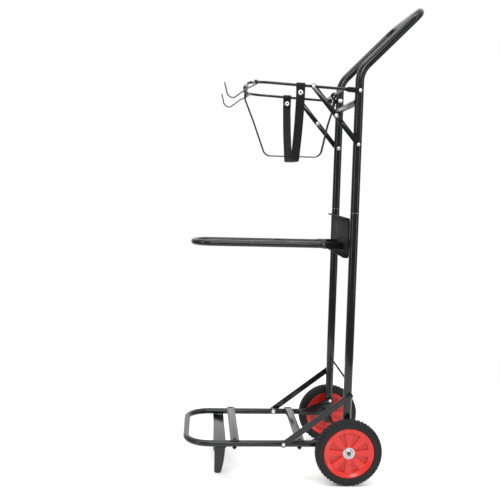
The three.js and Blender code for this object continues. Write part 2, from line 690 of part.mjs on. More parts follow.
/** The diagonal stays: riveted to the rails, and hooked over a stud on each post by a slot below. */
function makeStays() {
  const rise = Math.atan2(STAY_POST.z - STAY_RAIL.z, STAY_POST.x - STAY_RAIL.x);
  const out = slotDirection(rise);
  const slotEnd = STAY.width + 12; // past the edge of the strip
  const mouth = [STAY_POST.x + slotEnd * Math.cos(out), STAY_POST.z + slotEnd * Math.sin(out)];
  const beyond = [STAY_POST.x + STAY.tip * Math.cos(rise), STAY_POST.z + STAY.tip * Math.sin(rise)];
  const outline = stadium([STAY_RAIL.x, STAY_RAIL.z], beyond, STAY.width / 2);
  const { inner, thick } = STAY;
  const outer = inner + thick;
  const railHole = circle(PIVOT_R + 0.4, 8, STAY_RAIL.x, STAY_RAIL.z);
  const slot = stadium([STAY_POST.x, STAY_POST.z], mouth, PIVOT_R + 0.9);
  for (const { name, side } of SIDES) {
    const strip = sidePlate(outline, side * inner, side * outer, [railHole]);
    add(`stay_${name}`, cut(strip, sidePlate(slot, side * (inner - 2), side * (outer + 2))), paint);

    const railPin = rivet(PIVOT_R, [6.5, 143.4, 146.2], [6.5, outer + GAP, outer + 3.1]);
    const collar = railPin.findIndex(([radius, y]) => radius === PIVOT_R && y > 160);
    railPin.splice(collar, 0, [PIVOT_R, 165.9], [6, 165.9], [6, inner - GAP], [PIVOT_R, inner - GAP]);
    add(`stay_rivet_${name}`, lateralPin(railPin, side, STAY_RAIL.x, STAY_RAIL.z), zinc);

    const stud = rivet(PIVOT_R, [7, 140.2, 143.1], [7.5, outer + GAP, outer + 5]);
    add(`stay_stud_${name}`, lateralPin(stud, side, STAY_POST.x, STAY_POST.z), darkSteel);
  }
}

/** The flanged plate between the posts that carries the saddle arm between two ears. */
function makeBracket() {
  const reach = POST_Y - POST_R - GAP;
  const { x, thick, low, high, topFlange, lowFlange } = BRACKET;
  const corners = [[-reach, low], [reach, low], [reach, high], [-reach, high]];
  const shape = new THREE.Shape(corners.map(([y, z]) => new THREE.Vector2(y, z)));
  for (const { side } of SIDES) {
    const ends = [BRACKET_SLOT.low, BRACKET_SLOT.high].map((z) => [side * BRACKET_SLOT.y, z]);
    shape.holes.push(new THREE.Path(stadium(...ends, BRACKET_SLOT.r, 4)));
  }
  const plate = new THREE.ExtrudeGeometry(shape, { depth: thick, bevelEnabled: false });
  plate.rotateX(Math.PI / 2).rotateZ(Math.PI / 2).translate(x, 0, 0);
  const flanges = [
    block([x - topFlange, -reach, high - thick], [x + 1, reach, high]),
    block([x - lowFlange, -reach, low], [x + 1, reach, low + thick]),
  ];
  const near = ARM.y + ARM.r + 0.5;
  const { r } = BRACKET_EAR;
  const ear = [
    new THREE.Vector2(x + 1, ARM.z + r),
    ...Array.from({ length: 9 }, (_, i) => {
      const turn = Math.PI / 2 + (Math.PI * i) / 8;
      return new THREE.Vector2(ARM.pivotX + r * Math.cos(turn), ARM.z + r * Math.sin(turn));
    }),
    new THREE.Vector2(x + 1, ARM.z - r),
  ];
  const hole = circle(PIVOT_R + 0.4, 8, ARM.pivotX, ARM.z);
  const far = near + BRACKET_EAR.thick;
  const ears = SIDES.map(({ side }) => sidePlate(ear, side * near, side * far, [hole]));
  add('saddle_bracket', join(solid(plate), ...flanges, ...ears), paint);

  const head = far + GAP;
  const half = [[7.5, head + 3.5], [7.5, head], [PIVOT_R, head]];
  const end = head + 4.5;
  const bolt = [
    [0, -end],
    [6.5, -end],
    ...half.map(([radius, y]) => [radius, -y]),
    ...half.reverse(),
    [6.5, end],
    [0, end],
  ];
  add('saddle_arm_pivot_bolt', turned(bolt, 12).translate(ARM.pivotX, 0, ARM.z), zinc);
}

/** The saddle arm: a U of tube on its side that swings down between the posts. */
function makeSaddleArm() {
  const line = [
    vec(ARM.rear, -ARM.y, ARM.z),
    vec(ARM.front + ARM.r, -ARM.y, ARM.z),
    vec(ARM.front + ARM.r, ARM.y, ARM.z),
    vec(ARM.rear, ARM.y, ARM.z),
  ];
  const bar = tube(rounded(line, ARM.y - 0.5, 5), ARM.r, ARM.r - ARM.wall, 10);
  const pivotHole = drill(PIVOT_R + 0.4, ARM.pivotX, ARM.z, -ARM.y - 14, ARM.y + 14);
  add('saddle_arm', cut(bar, pivotHole), paint);
}

makePosts();
makeHandle();
makeCrossPieces();
makeWheels();
makeRing();
makeStraps();
makeBraces();
makeBase();
makeBracket();
makeSaddleArm();

const saddleTrolley = new THREE.Group();
saddleTrolley.add(trolley);
saddleTrolley.updateMatrixWorld(true);

export default saddleTrolley;
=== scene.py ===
"""The looks of a wheeled folding saddle trolley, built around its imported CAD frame.

Lengths are millimetres and are measured as in the CAD: X from the posts' axes, with the base at -X and
the handle at +X, Y from the middle plane with the left-hand side at -Y, and Z up from the floor.
"""
from math import acos, asin, atan2, copysign, cos, dist, pi, radians, sin, sqrt, tan

import bmesh
import bpy
import numpy as np
from mathutils import Matrix, Vector
from mathutils.geometry import tessellate_polygon


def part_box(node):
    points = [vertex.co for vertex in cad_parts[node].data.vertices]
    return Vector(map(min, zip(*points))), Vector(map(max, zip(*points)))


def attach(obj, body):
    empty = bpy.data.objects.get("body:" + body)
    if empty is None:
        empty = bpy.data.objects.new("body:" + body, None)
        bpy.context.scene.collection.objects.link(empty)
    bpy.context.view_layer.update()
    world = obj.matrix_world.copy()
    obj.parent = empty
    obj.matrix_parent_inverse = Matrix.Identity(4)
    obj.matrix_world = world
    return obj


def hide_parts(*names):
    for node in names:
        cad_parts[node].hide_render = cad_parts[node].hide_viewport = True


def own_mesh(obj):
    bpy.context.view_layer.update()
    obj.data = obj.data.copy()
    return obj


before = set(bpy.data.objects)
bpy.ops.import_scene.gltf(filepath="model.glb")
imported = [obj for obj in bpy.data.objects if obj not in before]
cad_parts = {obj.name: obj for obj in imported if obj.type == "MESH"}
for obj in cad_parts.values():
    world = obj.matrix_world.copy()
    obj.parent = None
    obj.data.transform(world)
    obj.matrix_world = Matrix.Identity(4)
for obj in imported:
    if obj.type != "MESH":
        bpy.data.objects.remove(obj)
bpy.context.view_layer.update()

# ---- The CAD's dimensions ----
# Functions that take a whole table with .values() unpack it in the order in which it is written here.
MM = 0.001


def middle(node):
    """Centre of a CAD node, in metres in the row frame."""
    low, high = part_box(node)
    return (low + high) / 2


def low_z(node):
    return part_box(node)[0].z / MM


def high_z(node):
    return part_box(node)[1].z / MM


POST_ORIGIN = middle("post_left").x  # the posts' axes, in metres along the row frame's X
SIDES = {"left": -1, "right": 1}

POST_Y = middle("post_right").y / MM
POST_R = 12.5
POST_BORE = 11
POST_FOOT_Z = low_z("post_left")
POST_TOP_Z = high_z("post_left")
HANDLE_BEND_Z = 1193
HANDLE_REACH = 172
HANDLE_TOP_Z = high_z("handle_frame") - POST_R + 0.3
HANDLE_RADII = [70, 42, 42, 70]
HANDLE_STEP = radians(4)
CROSS_TUBE = {"x": -4, "z": middle("upper_cross_tube").z / MM, "r": 9.5, "end": 143.2}
CROSS_ROD = {"z": middle("lower_cross_rod").z / MM, "r": 3, "end": 148}

WHEEL_R = 98
WHEEL_Y = middle("tyre_right").y / MM
RIM_R = 74
BEAD_R = 74.1
RIM_HALF = 14.5
HUB_R = 19
HUB_HALF = 7.5
SPOKE_HALF = 8.8
WEB_HALF = 4
AXLE_X = 2
AXLE_R = 5
AXLE_END_Y = 204
BUSH_R = 8
LUGS = 50
LUG_SAMPLES = 12  # the tread's points per lug, around the tyre
NOTCH = {"depth": 2.8, "slant": 22, "low": 86.2}  # slant: millimetres across for one lug around
GROOVE = {"depth": 2.2, "half": 2.6, "low": 97}
POCKETS = 8
POCKET = {"inner": 22, "outer": 59, "narrow": 0.1, "wide": 0.2}

RING = {"pivot": 1138, "y": 170.3, "front": -313, "rise": 16, "corner": 60, "r": 4}
RING_REAR_X = -47
RING_LUG = {"middle": 170.15, "half": 1.35, "r": 7.5}
HOOK = {"y": 152, "tip": (-381, 1150), "low": (-359, 1104), "r": 2}
COIL = {"turns": 2.5, "pitch": 4.4, "r": 1.7, "steps": 60}

STRAP_WIDTH = 25
STRAP_THICK = 2
STRAP_PLUMP = 1.5  # webbing stands this much thicker than its hard core
STRAP_SIDE_X = -169
STRAP_STEP = 1.6
STITCH = 2.6
EYELET_DROP = 20

BRACE_FOOT = (0, 987)
BRACE_ARM_X = -133.5
BRACE = {"width": 15, "thick": 2.5, "inner": 171.8, "tail": 18}

BASE = {"z": 112, "r": 9.5, "front": -470.5, "rear": -37, "corner": 70}
BASE_PIVOT = (2, 153)
HINGE_PLATE = {"inner": 140.2, "outer": 143.2, "front": -100, "low": 104}
DECK_BARS = {"front": -328, "rear": -137}
DECK_BAR = {"half": 13, "reach": 164, "low": 121.8, "thick": 3}
STAND = {"x": -369, "half": 17, "reach": 160, "low": 99.2, "thick": 3}
FOOT = {"y": 92, "top": 34, "bottom": 21, "half": 8}
STAY_RAIL = (-186, 114)
STAY_POST = (2, 258)
STAY = {"width": 18, "thick": 3.6, "inner": 169.1, "tip": 3}
STAY_SLOT = {"r": 4.9, "reach": 30}

ARM = {"y": 50, "r": 9.5, "bore": 8.3, "front": -468, "rear": -46, "pivot": -70, "z": 690}
BRACKET = {"x": -13.5, "thick": 3, "low": 661, "high": 777, "top": 14, "bottom": 12, "end": 143.2}
BRACKET_SLOT = {"y": 136, "low": 750, "high": 759, "r": 3}
EAR = {"inner": 60, "thick": 3, "r": 10}

# ---- Shapes ----
# A shape is (points, faces): an array of corners in millimetres, and lists of corner numbers.


def unit(vectors):
    vectors = np.asarray(vectors, float)
    return vectors / np.linalg.norm(vectors, axis=-1, keepdims=True)


def join(*shapes):
    """One shape from several."""
    points, faces, count = [], [], 0
    for corners, polygons in shapes:
        points.append(np.asarray(corners, float))
        faces += [[i + count for i in polygon] for polygon in polygons]
        count += len(corners)
    return np.vstack(points), faces


def loft(rings, wrap_ends=False):
    """A skin over rings of equal numbers of points. The ends are closed, or joined with wrap_ends."""
    rings = [np.asarray(ring, float) for ring in rings]
    size = len(rings[0])
    last = len(rings) if wrap_ends else len(rings) - 1
    faces = []
    for i in range(last):
        a, b = i * size, ((i + 1) % len(rings)) * size
        faces += [[a + k, a + (k + 1) % size, b + (k + 1) % size, b + k] for k in range(size)]
    if not wrap_ends:
        faces.append(list(range(size))[::-1])
        faces.append([(len(rings) - 1) * size + k for k in range(size)])
    return np.vstack(rings), faces


def bent(points, radius, step=radians(6)):
    """Straight runs through points, with every corner rounded. radius is a number, or a list of them."""
    points = [np.array(p, float) for p in points]
    radii = radius if isinstance(radius, (list, tuple)) else [radius] * (len(points) - 2)
    line = [points[0]]
    for before, corner, after, r in zip(points, points[1:], points[2:], radii):
        into, out = unit(corner - before), unit(after - corner)
        turn = acos(np.clip(into @ out, -1, 1))
        centre = corner + unit(out - into) * r / cos(turn / 2)
        spoke = corner - into * r * tan(turn / 2) - centre
        steps = max(3, round(turn / step))
        for k in range(steps + 1):
            angle = turn * k / steps
            line.append(centre + spoke * cos(angle) + into * r * sin(angle))
    return np.array(line + [points[-1]])


def crosswise(x, z, end):
    """A straight path along Y through (x, z), from one end to the other."""
    return [(x, y, z) for y in (-end, 0, end)]


def hairpin(rear, front, y, z, corner, degrees):
    """A U-shaped path, open at the rear, whose height at x is z(x)."""
    corners = [(rear, -y), (front, -y), (front, y), (rear, y)]
    return bent([(x, v, z(x)) for x, v in corners], corner, radians(degrees))


def carried(path):
    """Unit tangents and two unit normals at each point of a path, carried along it without twist."""
    step = unit(np.diff(path, axis=0))
    tangent = unit(np.vstack([step[:1], step[:-1] + step[1:], step[-1:]]))
    seed = (0, 0, 1) if abs(tangent[0][2]) < 0.9 else (1, 0, 0)
    normal = [unit(np.cross(tangent[0], seed))]
    for direction in tangent[1:]:
        normal.append(unit(normal[-1] - direction * (normal[-1] @ direction)))
    normal = np.array(normal)
    return tangent, normal, np.cross(tangent, normal)


def closed_end(r, edge=0.8):
    """A flat end with a rounded edge, as (distance in from the end, radius) pairs."""
    arc = [(edge * (1 - sin(a)), r - edge * (1 - cos(a))) for a in (pi / 2, 1, 0.5, 0)]
    return [(0, r * 0.3)] + arc


def open_end(r, bore, depth=30):
    """The end of a tube, with its wall and bore showing."""
    return [(depth, bore * 0.3), (depth, bore), (0.4, bore), (0, bore + 0.4), (0, r - 0.4), (0.4, r)]


def circle_about(centre, a, b, r, sides):
    """Points of a circle about centre, in the plane of the unit vectors a and b."""
    angles = np.arange(sides) * 2 * pi / sides
    return centre + r * (np.cos(angles)[:, None] * a + np.sin(angles)[:, None] * b)


def bar(path, r, start=None, end=None, sides=28):
    """A round bar or tube along a path, with the given ends."""
    path = np.asarray(path, float)
    tangent, normal, other = carried(path)

    def ring(index, shift, radius):
        centre = path[index] + tangent[index] * shift
        return circle_about(centre, normal[index], other[index], radius, sides)

    first = [ring(0, inset, radius) for inset, radius in start or closed_end(r)]
    run = [ring(i, 0, r) for i in range(1, len(path) - 1)]
    final = [ring(-1, -inset, radius) for inset, radius in reversed(end or closed_end(r))]
    return loft(first + run + final)


def soften(profile, size, steps=3, closed=False):
    """A 2-D line with its corners rounded by about size, a number or one for each corner."""
    points = [np.array(p, float) for p in profile]
    count = len(points)
    sizes = size if isinstance(size, (list, tuple)) else [size] * count
    line = []
    for i, point in enumerate(points):
        if not closed and i in (0, count - 1):
            line.append(point)
            continue
        before, after = points[i - 1] - point, points[(i + 1) % count] - point
        cut = min(sizes[i], 0.48 * np.linalg.norm(before), 0.48 * np.linalg.norm(after))
        if cut < 1e-6:
            line.append(point)
            continue
        a, b = point + unit(before) * cut, point + unit(after) * cut
        for k in range(steps + 1):
            t = k / steps
            line.append((1 - t) ** 2 * a + 2 * t * (1 - t) * point + t * t * b)
    return line


def turned(profile, centre, axis="Y", side=1, sides=40):
    """A piece turned about a line through centre: profile is (radius, height) pairs, from axis to axis,
    or all around if its first and last points are the same."""
    closed = np.allclose(profile[0], profile[-1])
    if closed:
        profile = profile[:-1]
    angles = np.arange(sides) * 2 * pi / sides
    rings = []
    for r, height in profile:
        r = max(r, 0.01)
        a, b, h = r * np.cos(angles), r * np.sin(angles), np.full(sides, side * height)
        columns = {"X": (h, a, b), "Y": (a, h, b), "Z": (a, b, h)}[axis]
        rings.append(np.stack(columns, axis=1) + np.array(centre, float))
    return loft(rings, wrap_ends=closed)


def mirrored(half):
    """A closed section from its half on one side of the middle plane."""
    return half + [(r, -y) for r, y in half[::-1]] + half[:1]


def pin(shank, inner_head, outer_head, collar=None, dome=0.5):
    """Profile of a rivet along Y from the middle plane outwards. A head is (radius, from, to); its outer
    face is domed by that share of its height."""
    r1, from1, to1 = inner_head
    r2, from2, to2 = outer_head
    height1, height2 = to1 - from1, to2 - from2
    line = [(0, from1), (r1 * 0.55, from1 + dome * height1 * 0.2), (r1 * 0.9, from1 + dome * height1)]
    line += [(r1, from1 + height1 * 0.85), (r1, to1), (shank, to1)]
    if collar:
        rc, fromc, toc = collar
        line += [(shank, fromc), (rc, fromc), (rc, toc), (shank, toc)]
    line += [(shank, from2), (r2, from2), (r2, from2 + height2 * 0.2), (r2 * 0.9, to2 - dome * height2)]
    line += [(r2 * 0.55, to2 - dome * height2 * 0.2), (0, to2)]
    return soften(line, 0.35, 2)


def arc(r, x, z, start, turn, steps):
    """Points of an arc about (x, z), from the angle start through turn."""
    angles = [start + turn * k / steps for k in range(steps + 1)]
    return [(x + r * cos(a), z + r * sin(a)) for a in angles]


def circle(r, x=0, z=0, sides=28):
    return arc(r, x, z, 0, 2 * pi, sides)[:-1]


def stadium(a, b, r, steps=14):
    """Outline with two round ends of radius r about the points a and b."""
    angle = atan2(b[1] - a[1], b[0] - a[0])
    ends = [(b, angle - pi / 2), (a, angle + pi / 2)]
    return [point for centre, start in ends for point in arc(r, *centre, start, pi, steps)]


PLANES = {
    "XZ": lambda u, v, h: (u, h, v),
    "YZ": lambda u, v, h: (h, u, v),
    "XY": lambda u, v, h: (u, v, h),
}


def plate(outline, near, far, plane="XZ", holes=(), edge=0.45):
    """A flat plate cut to an outline with holes, between two heights, with its edges rounded."""
    loops = [list(outline), *[list(hole) for hole in holes]]
    flat = [p for loop in loops for p in loop]
    place = PLANES[plane]
    bm = bmesh.new()
    low = [bm.verts.new(place(*p, near)) for p in flat]
    high = [bm.verts.new(place(*p, far)) for p in flat]
    if holes:
        caps = tessellate_polygon([[Vector((*p, 0)) for p in loop] for loop in loops])
    else:
        caps = [range(len(flat))]
    for cap in caps:
        bm.faces.new([low[i] for i in cap])
        bm.faces.new([high[i] for i in cap][::-1])
    rims = []
    start = 0
    for loop in loops:
        count = len(loop)
        for k in range(count):
            a, b = start + k, start + (k + 1) % count
            bm.faces.new([low[a], low[b], high[b], high[a]])
            rims += [(low[a], low[b]), (high[a], high[b])]
        start += count
    bmesh.ops.recalc_face_normals(bm, faces=bm.faces)
    if edge:
        edges = [bm.edges.get(pair) for pair in rims]
        bmesh.ops.bevel(bm, geom=edges, offset=edge, segments=2, profile=0.6, affect="EDGES")
    bm.verts.index_update()
    shape = [tuple(v.co) for v in bm.verts], [[v.index for v in face.verts] for face in bm.faces]
    bm.free()
    return shape


def rectangle(u0, u1, v0, v1, corner=1.0):
    return soften([(u0, v0), (u1, v0), (u1, v1), (u0, v1)], corner, 4, closed=True)


def moved(shape, offset):
    points, faces = shape
    return np.asarray(points, float) + np.array(offset, float), faces


def travelled(path):
    """The distance along a path to each of its points."""
    return np.concatenate([[0], np.cumsum(np.linalg.norm(np.diff(path, axis=0), axis=1))])


def weld(path, r=1.7, seed=0):
    """A weld bead along a path, with the ripples of its solidified pools."""
    path = np.asarray(path, float)
    lengths = travelled(path)
    samples = max(8, int(lengths[-1] / 0.55))
    along = np.linspace(0, lengths[-1], samples)
    fine = np.stack([np.interp(along, lengths, path[:, k]) for k in range(3)], axis=1)
    _, normal, other = carried(fine)
    rings = []
    for i, s in enumerate(along):
        taper = min(1.0, 0.45 + min(s, lengths[-1] - s) / 3.0)
        ripple = 1 + 0.12 * abs(sin(s * 1.9 + seed)) + 0.05 * sin(s * 0.63 + 2 * seed)
        rings.append(circle_about(fine[i], normal[i], other[i], r * taper * ripple, 10))
    return loft(rings)


# ---- Pieces ----
SHARP = radians(38)


def add_object(name, data):
    obj = bpy.data.objects.new(name, data)
    bpy.context.scene.collection.objects.link(obj)
    return obj


def piece(name, shape, body, look, nodes=(), uv=None, sharp=SHARP):
    """Makes an object of a shape, rides it on a body, and lets it stand for CAD nodes."""
    points, faces = shape
    mesh = bpy.data.meshes.new(name)
    metres = np.asarray(points, float) * MM + np.array([POST_ORIGIN, 0, 0])
    mesh.from_pydata([tuple(p) for p in metres], [], [list(f) for f in faces])
    bm = bmesh.new()
    bm.from_mesh(mesh)
    bmesh.ops.recalc_face_normals(bm, faces=bm.faces)
    bm.to_mesh(mesh)
    bm.free()
    if uv is not None:
        layer = mesh.uv_layers.new(name="along_across")
        for loop in mesh.loops:
            layer.data[loop.index].uv = uv[loop.vertex_index]
    mesh.shade_smooth()
    mesh.set_sharp_from_angle(angle=sharp)
    slot, material = look
    mesh.materials.append(material)
    obj = add_object(name, mesh)
    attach(obj, body)
    if nodes:
        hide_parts(*nodes)
    return obj


def carve(obj, cutter_shape):
    """Cuts a shape out of an object."""
    cutter = piece("cutter", cutter_shape, "frame", PAINT)
    modifier = obj.modifiers.new("cut", "BOOLEAN")
    modifier.operation = "DIFFERENCE"
    modifier.solver = "EXACT"
    modifier.object = cutter
    bpy.context.view_layer.update()
    evaluated = obj.evaluated_get(bpy.context.evaluated_depsgraph_get())
    mesh = bpy.data.meshes.new_from_object(evaluated)
    obj.modifiers.clear()
    obj.data = mesh
    mesh.set_sharp_from_angle(angle=SHARP)
    bpy.data.objects.remove(cutter)


# ---- Materials ----
def add_node(tree, kind, inputs=(), **properties):
    """A node, with its properties set, and its inputs set or linked by name or number."""
    made = tree.nodes.new(kind)
    for key, value in properties.items():
        setattr(made, key, value)
    for key, value in dict(inputs).items():
        if isinstance(value, bpy.types.NodeSocket):
            tree.links.new(value, made.inputs[key])
        else:
            made.inputs[key].default_value = value
    return made


class Look:
    """A node material around one Principled shader."""

    def __init__(self, name, color, roughness, **sockets):
        self.material = bpy.data.materials.new(name)
        self.material.use_nodes = True
        self.tree = self.material.node_tree
        self.shader = self.tree.nodes["Principled BSDF"]
        sockets = {"Base_Color": (*color, 1), "Roughness": roughness, **sockets}
        for socket, value in sockets.items():
            self.shader.inputs[socket.replace("_", " ")].default_value = value
        self.place = self.node("ShaderNodeTexCoord")

    def node(self, kind, **values):
        return add_node(self.tree, kind, **values)

    def noise(self, scale, detail=2.0, rough=0.5, vector=None):
        """Noise of the given scale, in cycles per metre."""
        source = vector or self.place.outputs["Object"]
        inputs = {"Vector": source, "Scale": scale, "Detail": detail, "Roughness": rough}
        return self.node("ShaderNodeTexNoise", inputs=inputs).outputs["Fac"]

    def spread(self, value, low, high, to_low=0.0, to_high=1.0):
        """value mapped from low..high to to_low..to_high, and clamped."""
        inputs = {0: value, 1: low, 2: high, 3: to_low, 4: to_high}
        return self.node("ShaderNodeMapRange", inputs=inputs).outputs[0]

    def math(self, operation, a, b=0.0):
        return self.node("ShaderNodeMath", operation=operation, inputs={0: a, 1: b}).outputs[0]

    def times(self, a, b):
        return self.math("MULTIPLY", a, b)

    def mix(self, factor, a, b):
        """Colour a where factor is 0 and b where it is 1. Either may be a socket or an RGB triple."""
        inputs = {0: factor, 6: a, 7: b}  # the node's colour inputs are its sixth and seventh
        for key in (6, 7):
            if not isinstance(inputs[key], bpy.types.NodeSocket):
                inputs[key] = (*inputs[key], 1)
        return self.node("ShaderNodeMix", data_type="RGBA", inputs=inputs).outputs[2]

    def drive(self, socket, source):
        self.tree.links.new(source, self.shader.inputs[socket])

    def bump(self, height, distance, strength=1.0):
        """Adds a bump of that depth in metres on top of any other."""
        inputs = {"Height": height, "Distance": distance, "Strength": strength}
        made = self.node("ShaderNodeBump", inputs=inputs)
        previous = self.shader.inputs["Normal"]
        if previous.links:
            self.tree.links.new(previous.links[0].from_socket, made.inputs["Normal"])
        self.drive("Normal", made.outputs["Normal"])

    def tones(self, value, low, high):
        """Two tones that pass into each other over the middle of a noise."""
        return self.mix(self.spread(value, 0.3, 0.7), low, high)

    def rough(self, value, low, high):
        """Roughness between two values, over the middle of a noise."""
        self.drive("Roughness", self.spread(value, 0.3, 0.7, low, high))

    def pointiness(self):
        """About 0.5 on flat faces, more along raised edges and less in hollows."""
        return self.node("ShaderNodeNewGeometry").outputs["Pointiness"]

    def colour(self, factor, a, b):
        """Colours the look a where factor is 0 and b where it is 1."""
        self.drive("Base Color", self.mix(factor, a, b))

    def worn_edges(self, tone, bare, share, edges, noise, patches):
        """Colours the look with a tone that gives way to a bare one, in patches along raised edges."""
        raised = self.spread(self.pointiness(), *edges)
        worn = self.times(raised, self.spread(self.noise(*noise), *patches))
        self.colour(self.times(worn, share), tone, bare)


def powder_coat(name, wear):
    """Glossy black powder coat: a faint orange peel, patchy gloss, dust, and a share of wear at edges."""
    gloss = {"Coat_Weight": 0.25, "Coat_Roughness": 0.06, "Specular_IOR_Level": 0.3}
    look = Look(name, (0.006, 0.0065, 0.0075), 0.3, **gloss)
    cloud = look.noise(9, 3)
    handling = look.spread(look.noise(38, 4, 0.6), 0.52, 0.72)
    tone = look.tones(cloud, (0.0035, 0.004, 0.0048), (0.0075, 0.008, 0.0092))
    dusty = look.mix(look.times(handling, 0.2), tone, (0.025, 0.025, 0.026))
    look.worn_edges(dusty, (0.10, 0.10, 0.105), wear, (0.54, 0.62), (210, 3), (0.5, 0.62))
    clean = look.spread(cloud, 0.3, 0.7, 0.15, 0.22)
    look.drive("Roughness", look.math("ADD", clean, look.times(handling, 0.10)))
    look.bump(look.noise(700, 1), 0.000012, 0.4)
    return look.material


def matt_black():
    """Flat black finish of the bracket and the thin rod, rubbed a little smoother in patches."""
    look = Look("matt_black", (0.006, 0.006, 0.0065), 0.65, Specular_IOR_Level=0.05)
    cloud = look.noise(24, 4, 0.6)
    tone = look.tones(cloud, (0.0045, 0.0045, 0.005), (0.010, 0.010, 0.0105))
    look.worn_edges(tone, (0.06, 0.06, 0.063), 0.5, (0.53, 0.62), (180, 3), (0.5, 0.62))
    look.rough(cloud, 0.5, 0.72)
    look.bump(look.noise(700, 2), 0.00004, 0.6)
    return look.material


def bright_zinc(name="bright_zinc", tone=(0.52, 0.53, 0.54), rough=(0.14, 0.28)):
    """Zinc plate: a soft metal sheen with fine spangle and faint dull patches."""
    look = Look(name, tone, 0.28, Metallic=1.0)
    patch = look.noise(160, 3, 0.6)
    look.colour(look.spread(patch, 0.4, 0.75), tone, tuple(c * 0.72 for c in tone))
    look.rough(patch, *rough)
    look.bump(look.noise(900, 3), 0.00002, 0.4)
    return look.material


def red_plastic(name, low, high):
    """Glossy moulded red between two tones: faint flow marks, and painted shade that darkens the hollows
    and corners.
    """
    gloss = {"Coat_Weight": 0.3, "Coat_Roughness": 0.08, "Specular_IOR_Level": 0.3}
    glow = {"Subsurface_Weight": 0.06, "Subsurface_Radius": (0.004, 0.001, 0.001)}
    look = Look(name, high, 0.3, **gloss, **glow)
    # Painted shade: the red turns to a deep red in hollows and inside corners, found by pointiness.
    painted_shade = look.spread(look.pointiness(), 0.40, 0.49, 0.55, 0.0)
    look.colour(painted_shade, look.tones(look.noise(26, 3, 0.55), low, high), (0.30, 0.012, 0.012))
    look.rough(look.noise(60, 4), 0.22, 0.32)
    look.bump(look.noise(420, 2), 0.00008, 0.35)
    return look.material


def tyre_rubber():
    """Solid rubber: charcoal, with a matt grain, a little dust, and lighter scuffs on the tread."""
    look = Look("tyre_rubber", (0.015, 0.015, 0.017), 0.6, Specular_IOR_Level=0.27)
    cloud = look.noise(22, 4, 0.6)
    tone = look.tones(cloud, (0.006, 0.0063, 0.0067), (0.012, 0.0124, 0.0128))
    look.worn_edges(tone, (0.06, 0.059, 0.057), 0.6, (0.52, 0.6), (130, 5, 0.7), (0.5, 0.7))
    look.rough(cloud, 0.5, 0.68)
    look.bump(look.noise(1300, 3, 0.6), 0.00005, 0.6)
    look.bump(look.noise(240, 2), 0.0001, 0.4)
    return look.material


def moulded_plastic():
    """Black moulded plastic with a fine spark-eroded grain."""
    look = Look("black_moulded_plastic", (0.014, 0.014, 0.015), 0.5)
    cell = look.node("ShaderNodeTexVoronoi", inputs={"Vector": look.place.outputs["Object"], "Scale": 1700})
    cloud = look.noise(45, 3)
    tone = look.tones(cloud, (0.011, 0.011, 0.012), (0.021, 0.021, 0.022))
    look.worn_edges(tone, (0.08, 0.08, 0.08), 0.5, (0.53, 0.6), (300, 3), (0.45, 0.6))
    look.rough(cloud, 0.42, 0.58)
    look.bump(cell.outputs["Distance"], 0.00006, 0.6)
    return look.material


def dark_steel():
    """Drawn wire, darkened: fine lines, and a brown-grey oil finish."""
    look = Look("dark_steel", (0.10, 0.10, 0.105), 0.34, Metallic=1.0)
    patch = look.noise(120, 4, 0.6)
    look.colour(look.spread(patch, 0.35, 0.7), (0.085, 0.085, 0.09), (0.17, 0.165, 0.16))
    look.rough(patch, 0.28, 0.46)
    look.bump(look.noise(1900, 2), 0.00003, 0.5)
    return look.material


def webbing():
    """Black webbing: a 2/2 twill of ribbed yarns in metres along and across the strap, with soft fuzz."""
    sheen = {"Sheen_Weight": 0.06, "Sheen_Roughness": 0.4, "Specular_IOR_Level": 0.25}
    look = Look("black_webbing", (0.012, 0.012, 0.013), 0.82, **sheen)
    split = look.node("ShaderNodeSeparateXYZ", inputs={0: look.place.outputs["UV"]})
    along, across = split.outputs[0], split.outputs[1]
    yarn = 2 * pi / 0.0013
    pick = 2 * pi / 0.0018
    warp = look.math("SINE", look.times(across, yarn))
    weft = look.math("SINE", look.math("ADD", look.times(along, pick), look.times(across, yarn / 2)))
    weave = look.spread(look.times(warp, weft), -1, 1)
    fibre = look.noise(2600, 3, 0.7)
    cloud = look.noise(30, 3)
    tone = look.tones(cloud, (0.005, 0.005, 0.0055), (0.009, 0.009, 0.010))
    threads = look.mix(look.times(weave, 0.6), tone, (0.016, 0.016, 0.0175))
    fuzz = look.times(look.spread(fibre, 0.55, 0.75), 0.25)
    look.colour(fuzz, threads, (0.035, 0.035, 0.037))
    look.bump(weave, 0.00022, 0.9)
    look.bump(fibre, 0.00006, 0.5)
    return look.material


PAINT = ("black_paint", powder_coat("black_powder_coat", 0.0))
PLATE = ("black_paint", powder_coat("black_powder_coat_plate", 0.5))
ZINC = ("zinc_steel", bright_zinc())
RIVET = ("bright_rivet", bright_zinc("bright_rivet", (0.80, 0.80, 0.80), (0.36, 0.46)))
MATT = ("black_paint", matt_black())
DARK = ("dark_wire", dark_steel())
RED = ("red_rim", red_plastic("red_rim_plastic", (0.56, 0.017, 0.011), (0.62, 0.024, 0.016)))
# Painted shade: a darker copy of the rim's red, for the web at the floor of the pockets.
RED_SHADED_POCKET = ("red_rim", red_plastic("red_rim_pocket_painted_shade", (0.46, 0.011, 0.008), (0.52, 0.015, 0.011)))
RUBBER = ("tyre_rubber", tyre_rubber())
PLASTIC = ("black_plastic", moulded_plastic())
WEBBING = ("black_webbing", webbing())


def rivet(name, profile, at, side, body, node, look=RIVET):
    """A rivet or stud with its axis along Y through at, as (x, z)."""
    piece(name, turned(profile, (at[0], 0, at[1]), side=side), body, look, [node])


# ---- Posts, handle and cross pieces ----
def saddle_weld(x, z, r, side, seed):
    """A bead where a cross tube of radius r meets a post."""
    line = []
    for k in range(41):
        angle = 2 * pi * k / 40
        px = x + (r + 0.4) * cos(angle)
        depth = sqrt(max((POST_R + 0.3) ** 2 - px**2, 0))
        line.append((px, side * (POST_Y - depth), z + (r + 0.4) * sin(angle)))
    return weld(line, 1.5, seed)


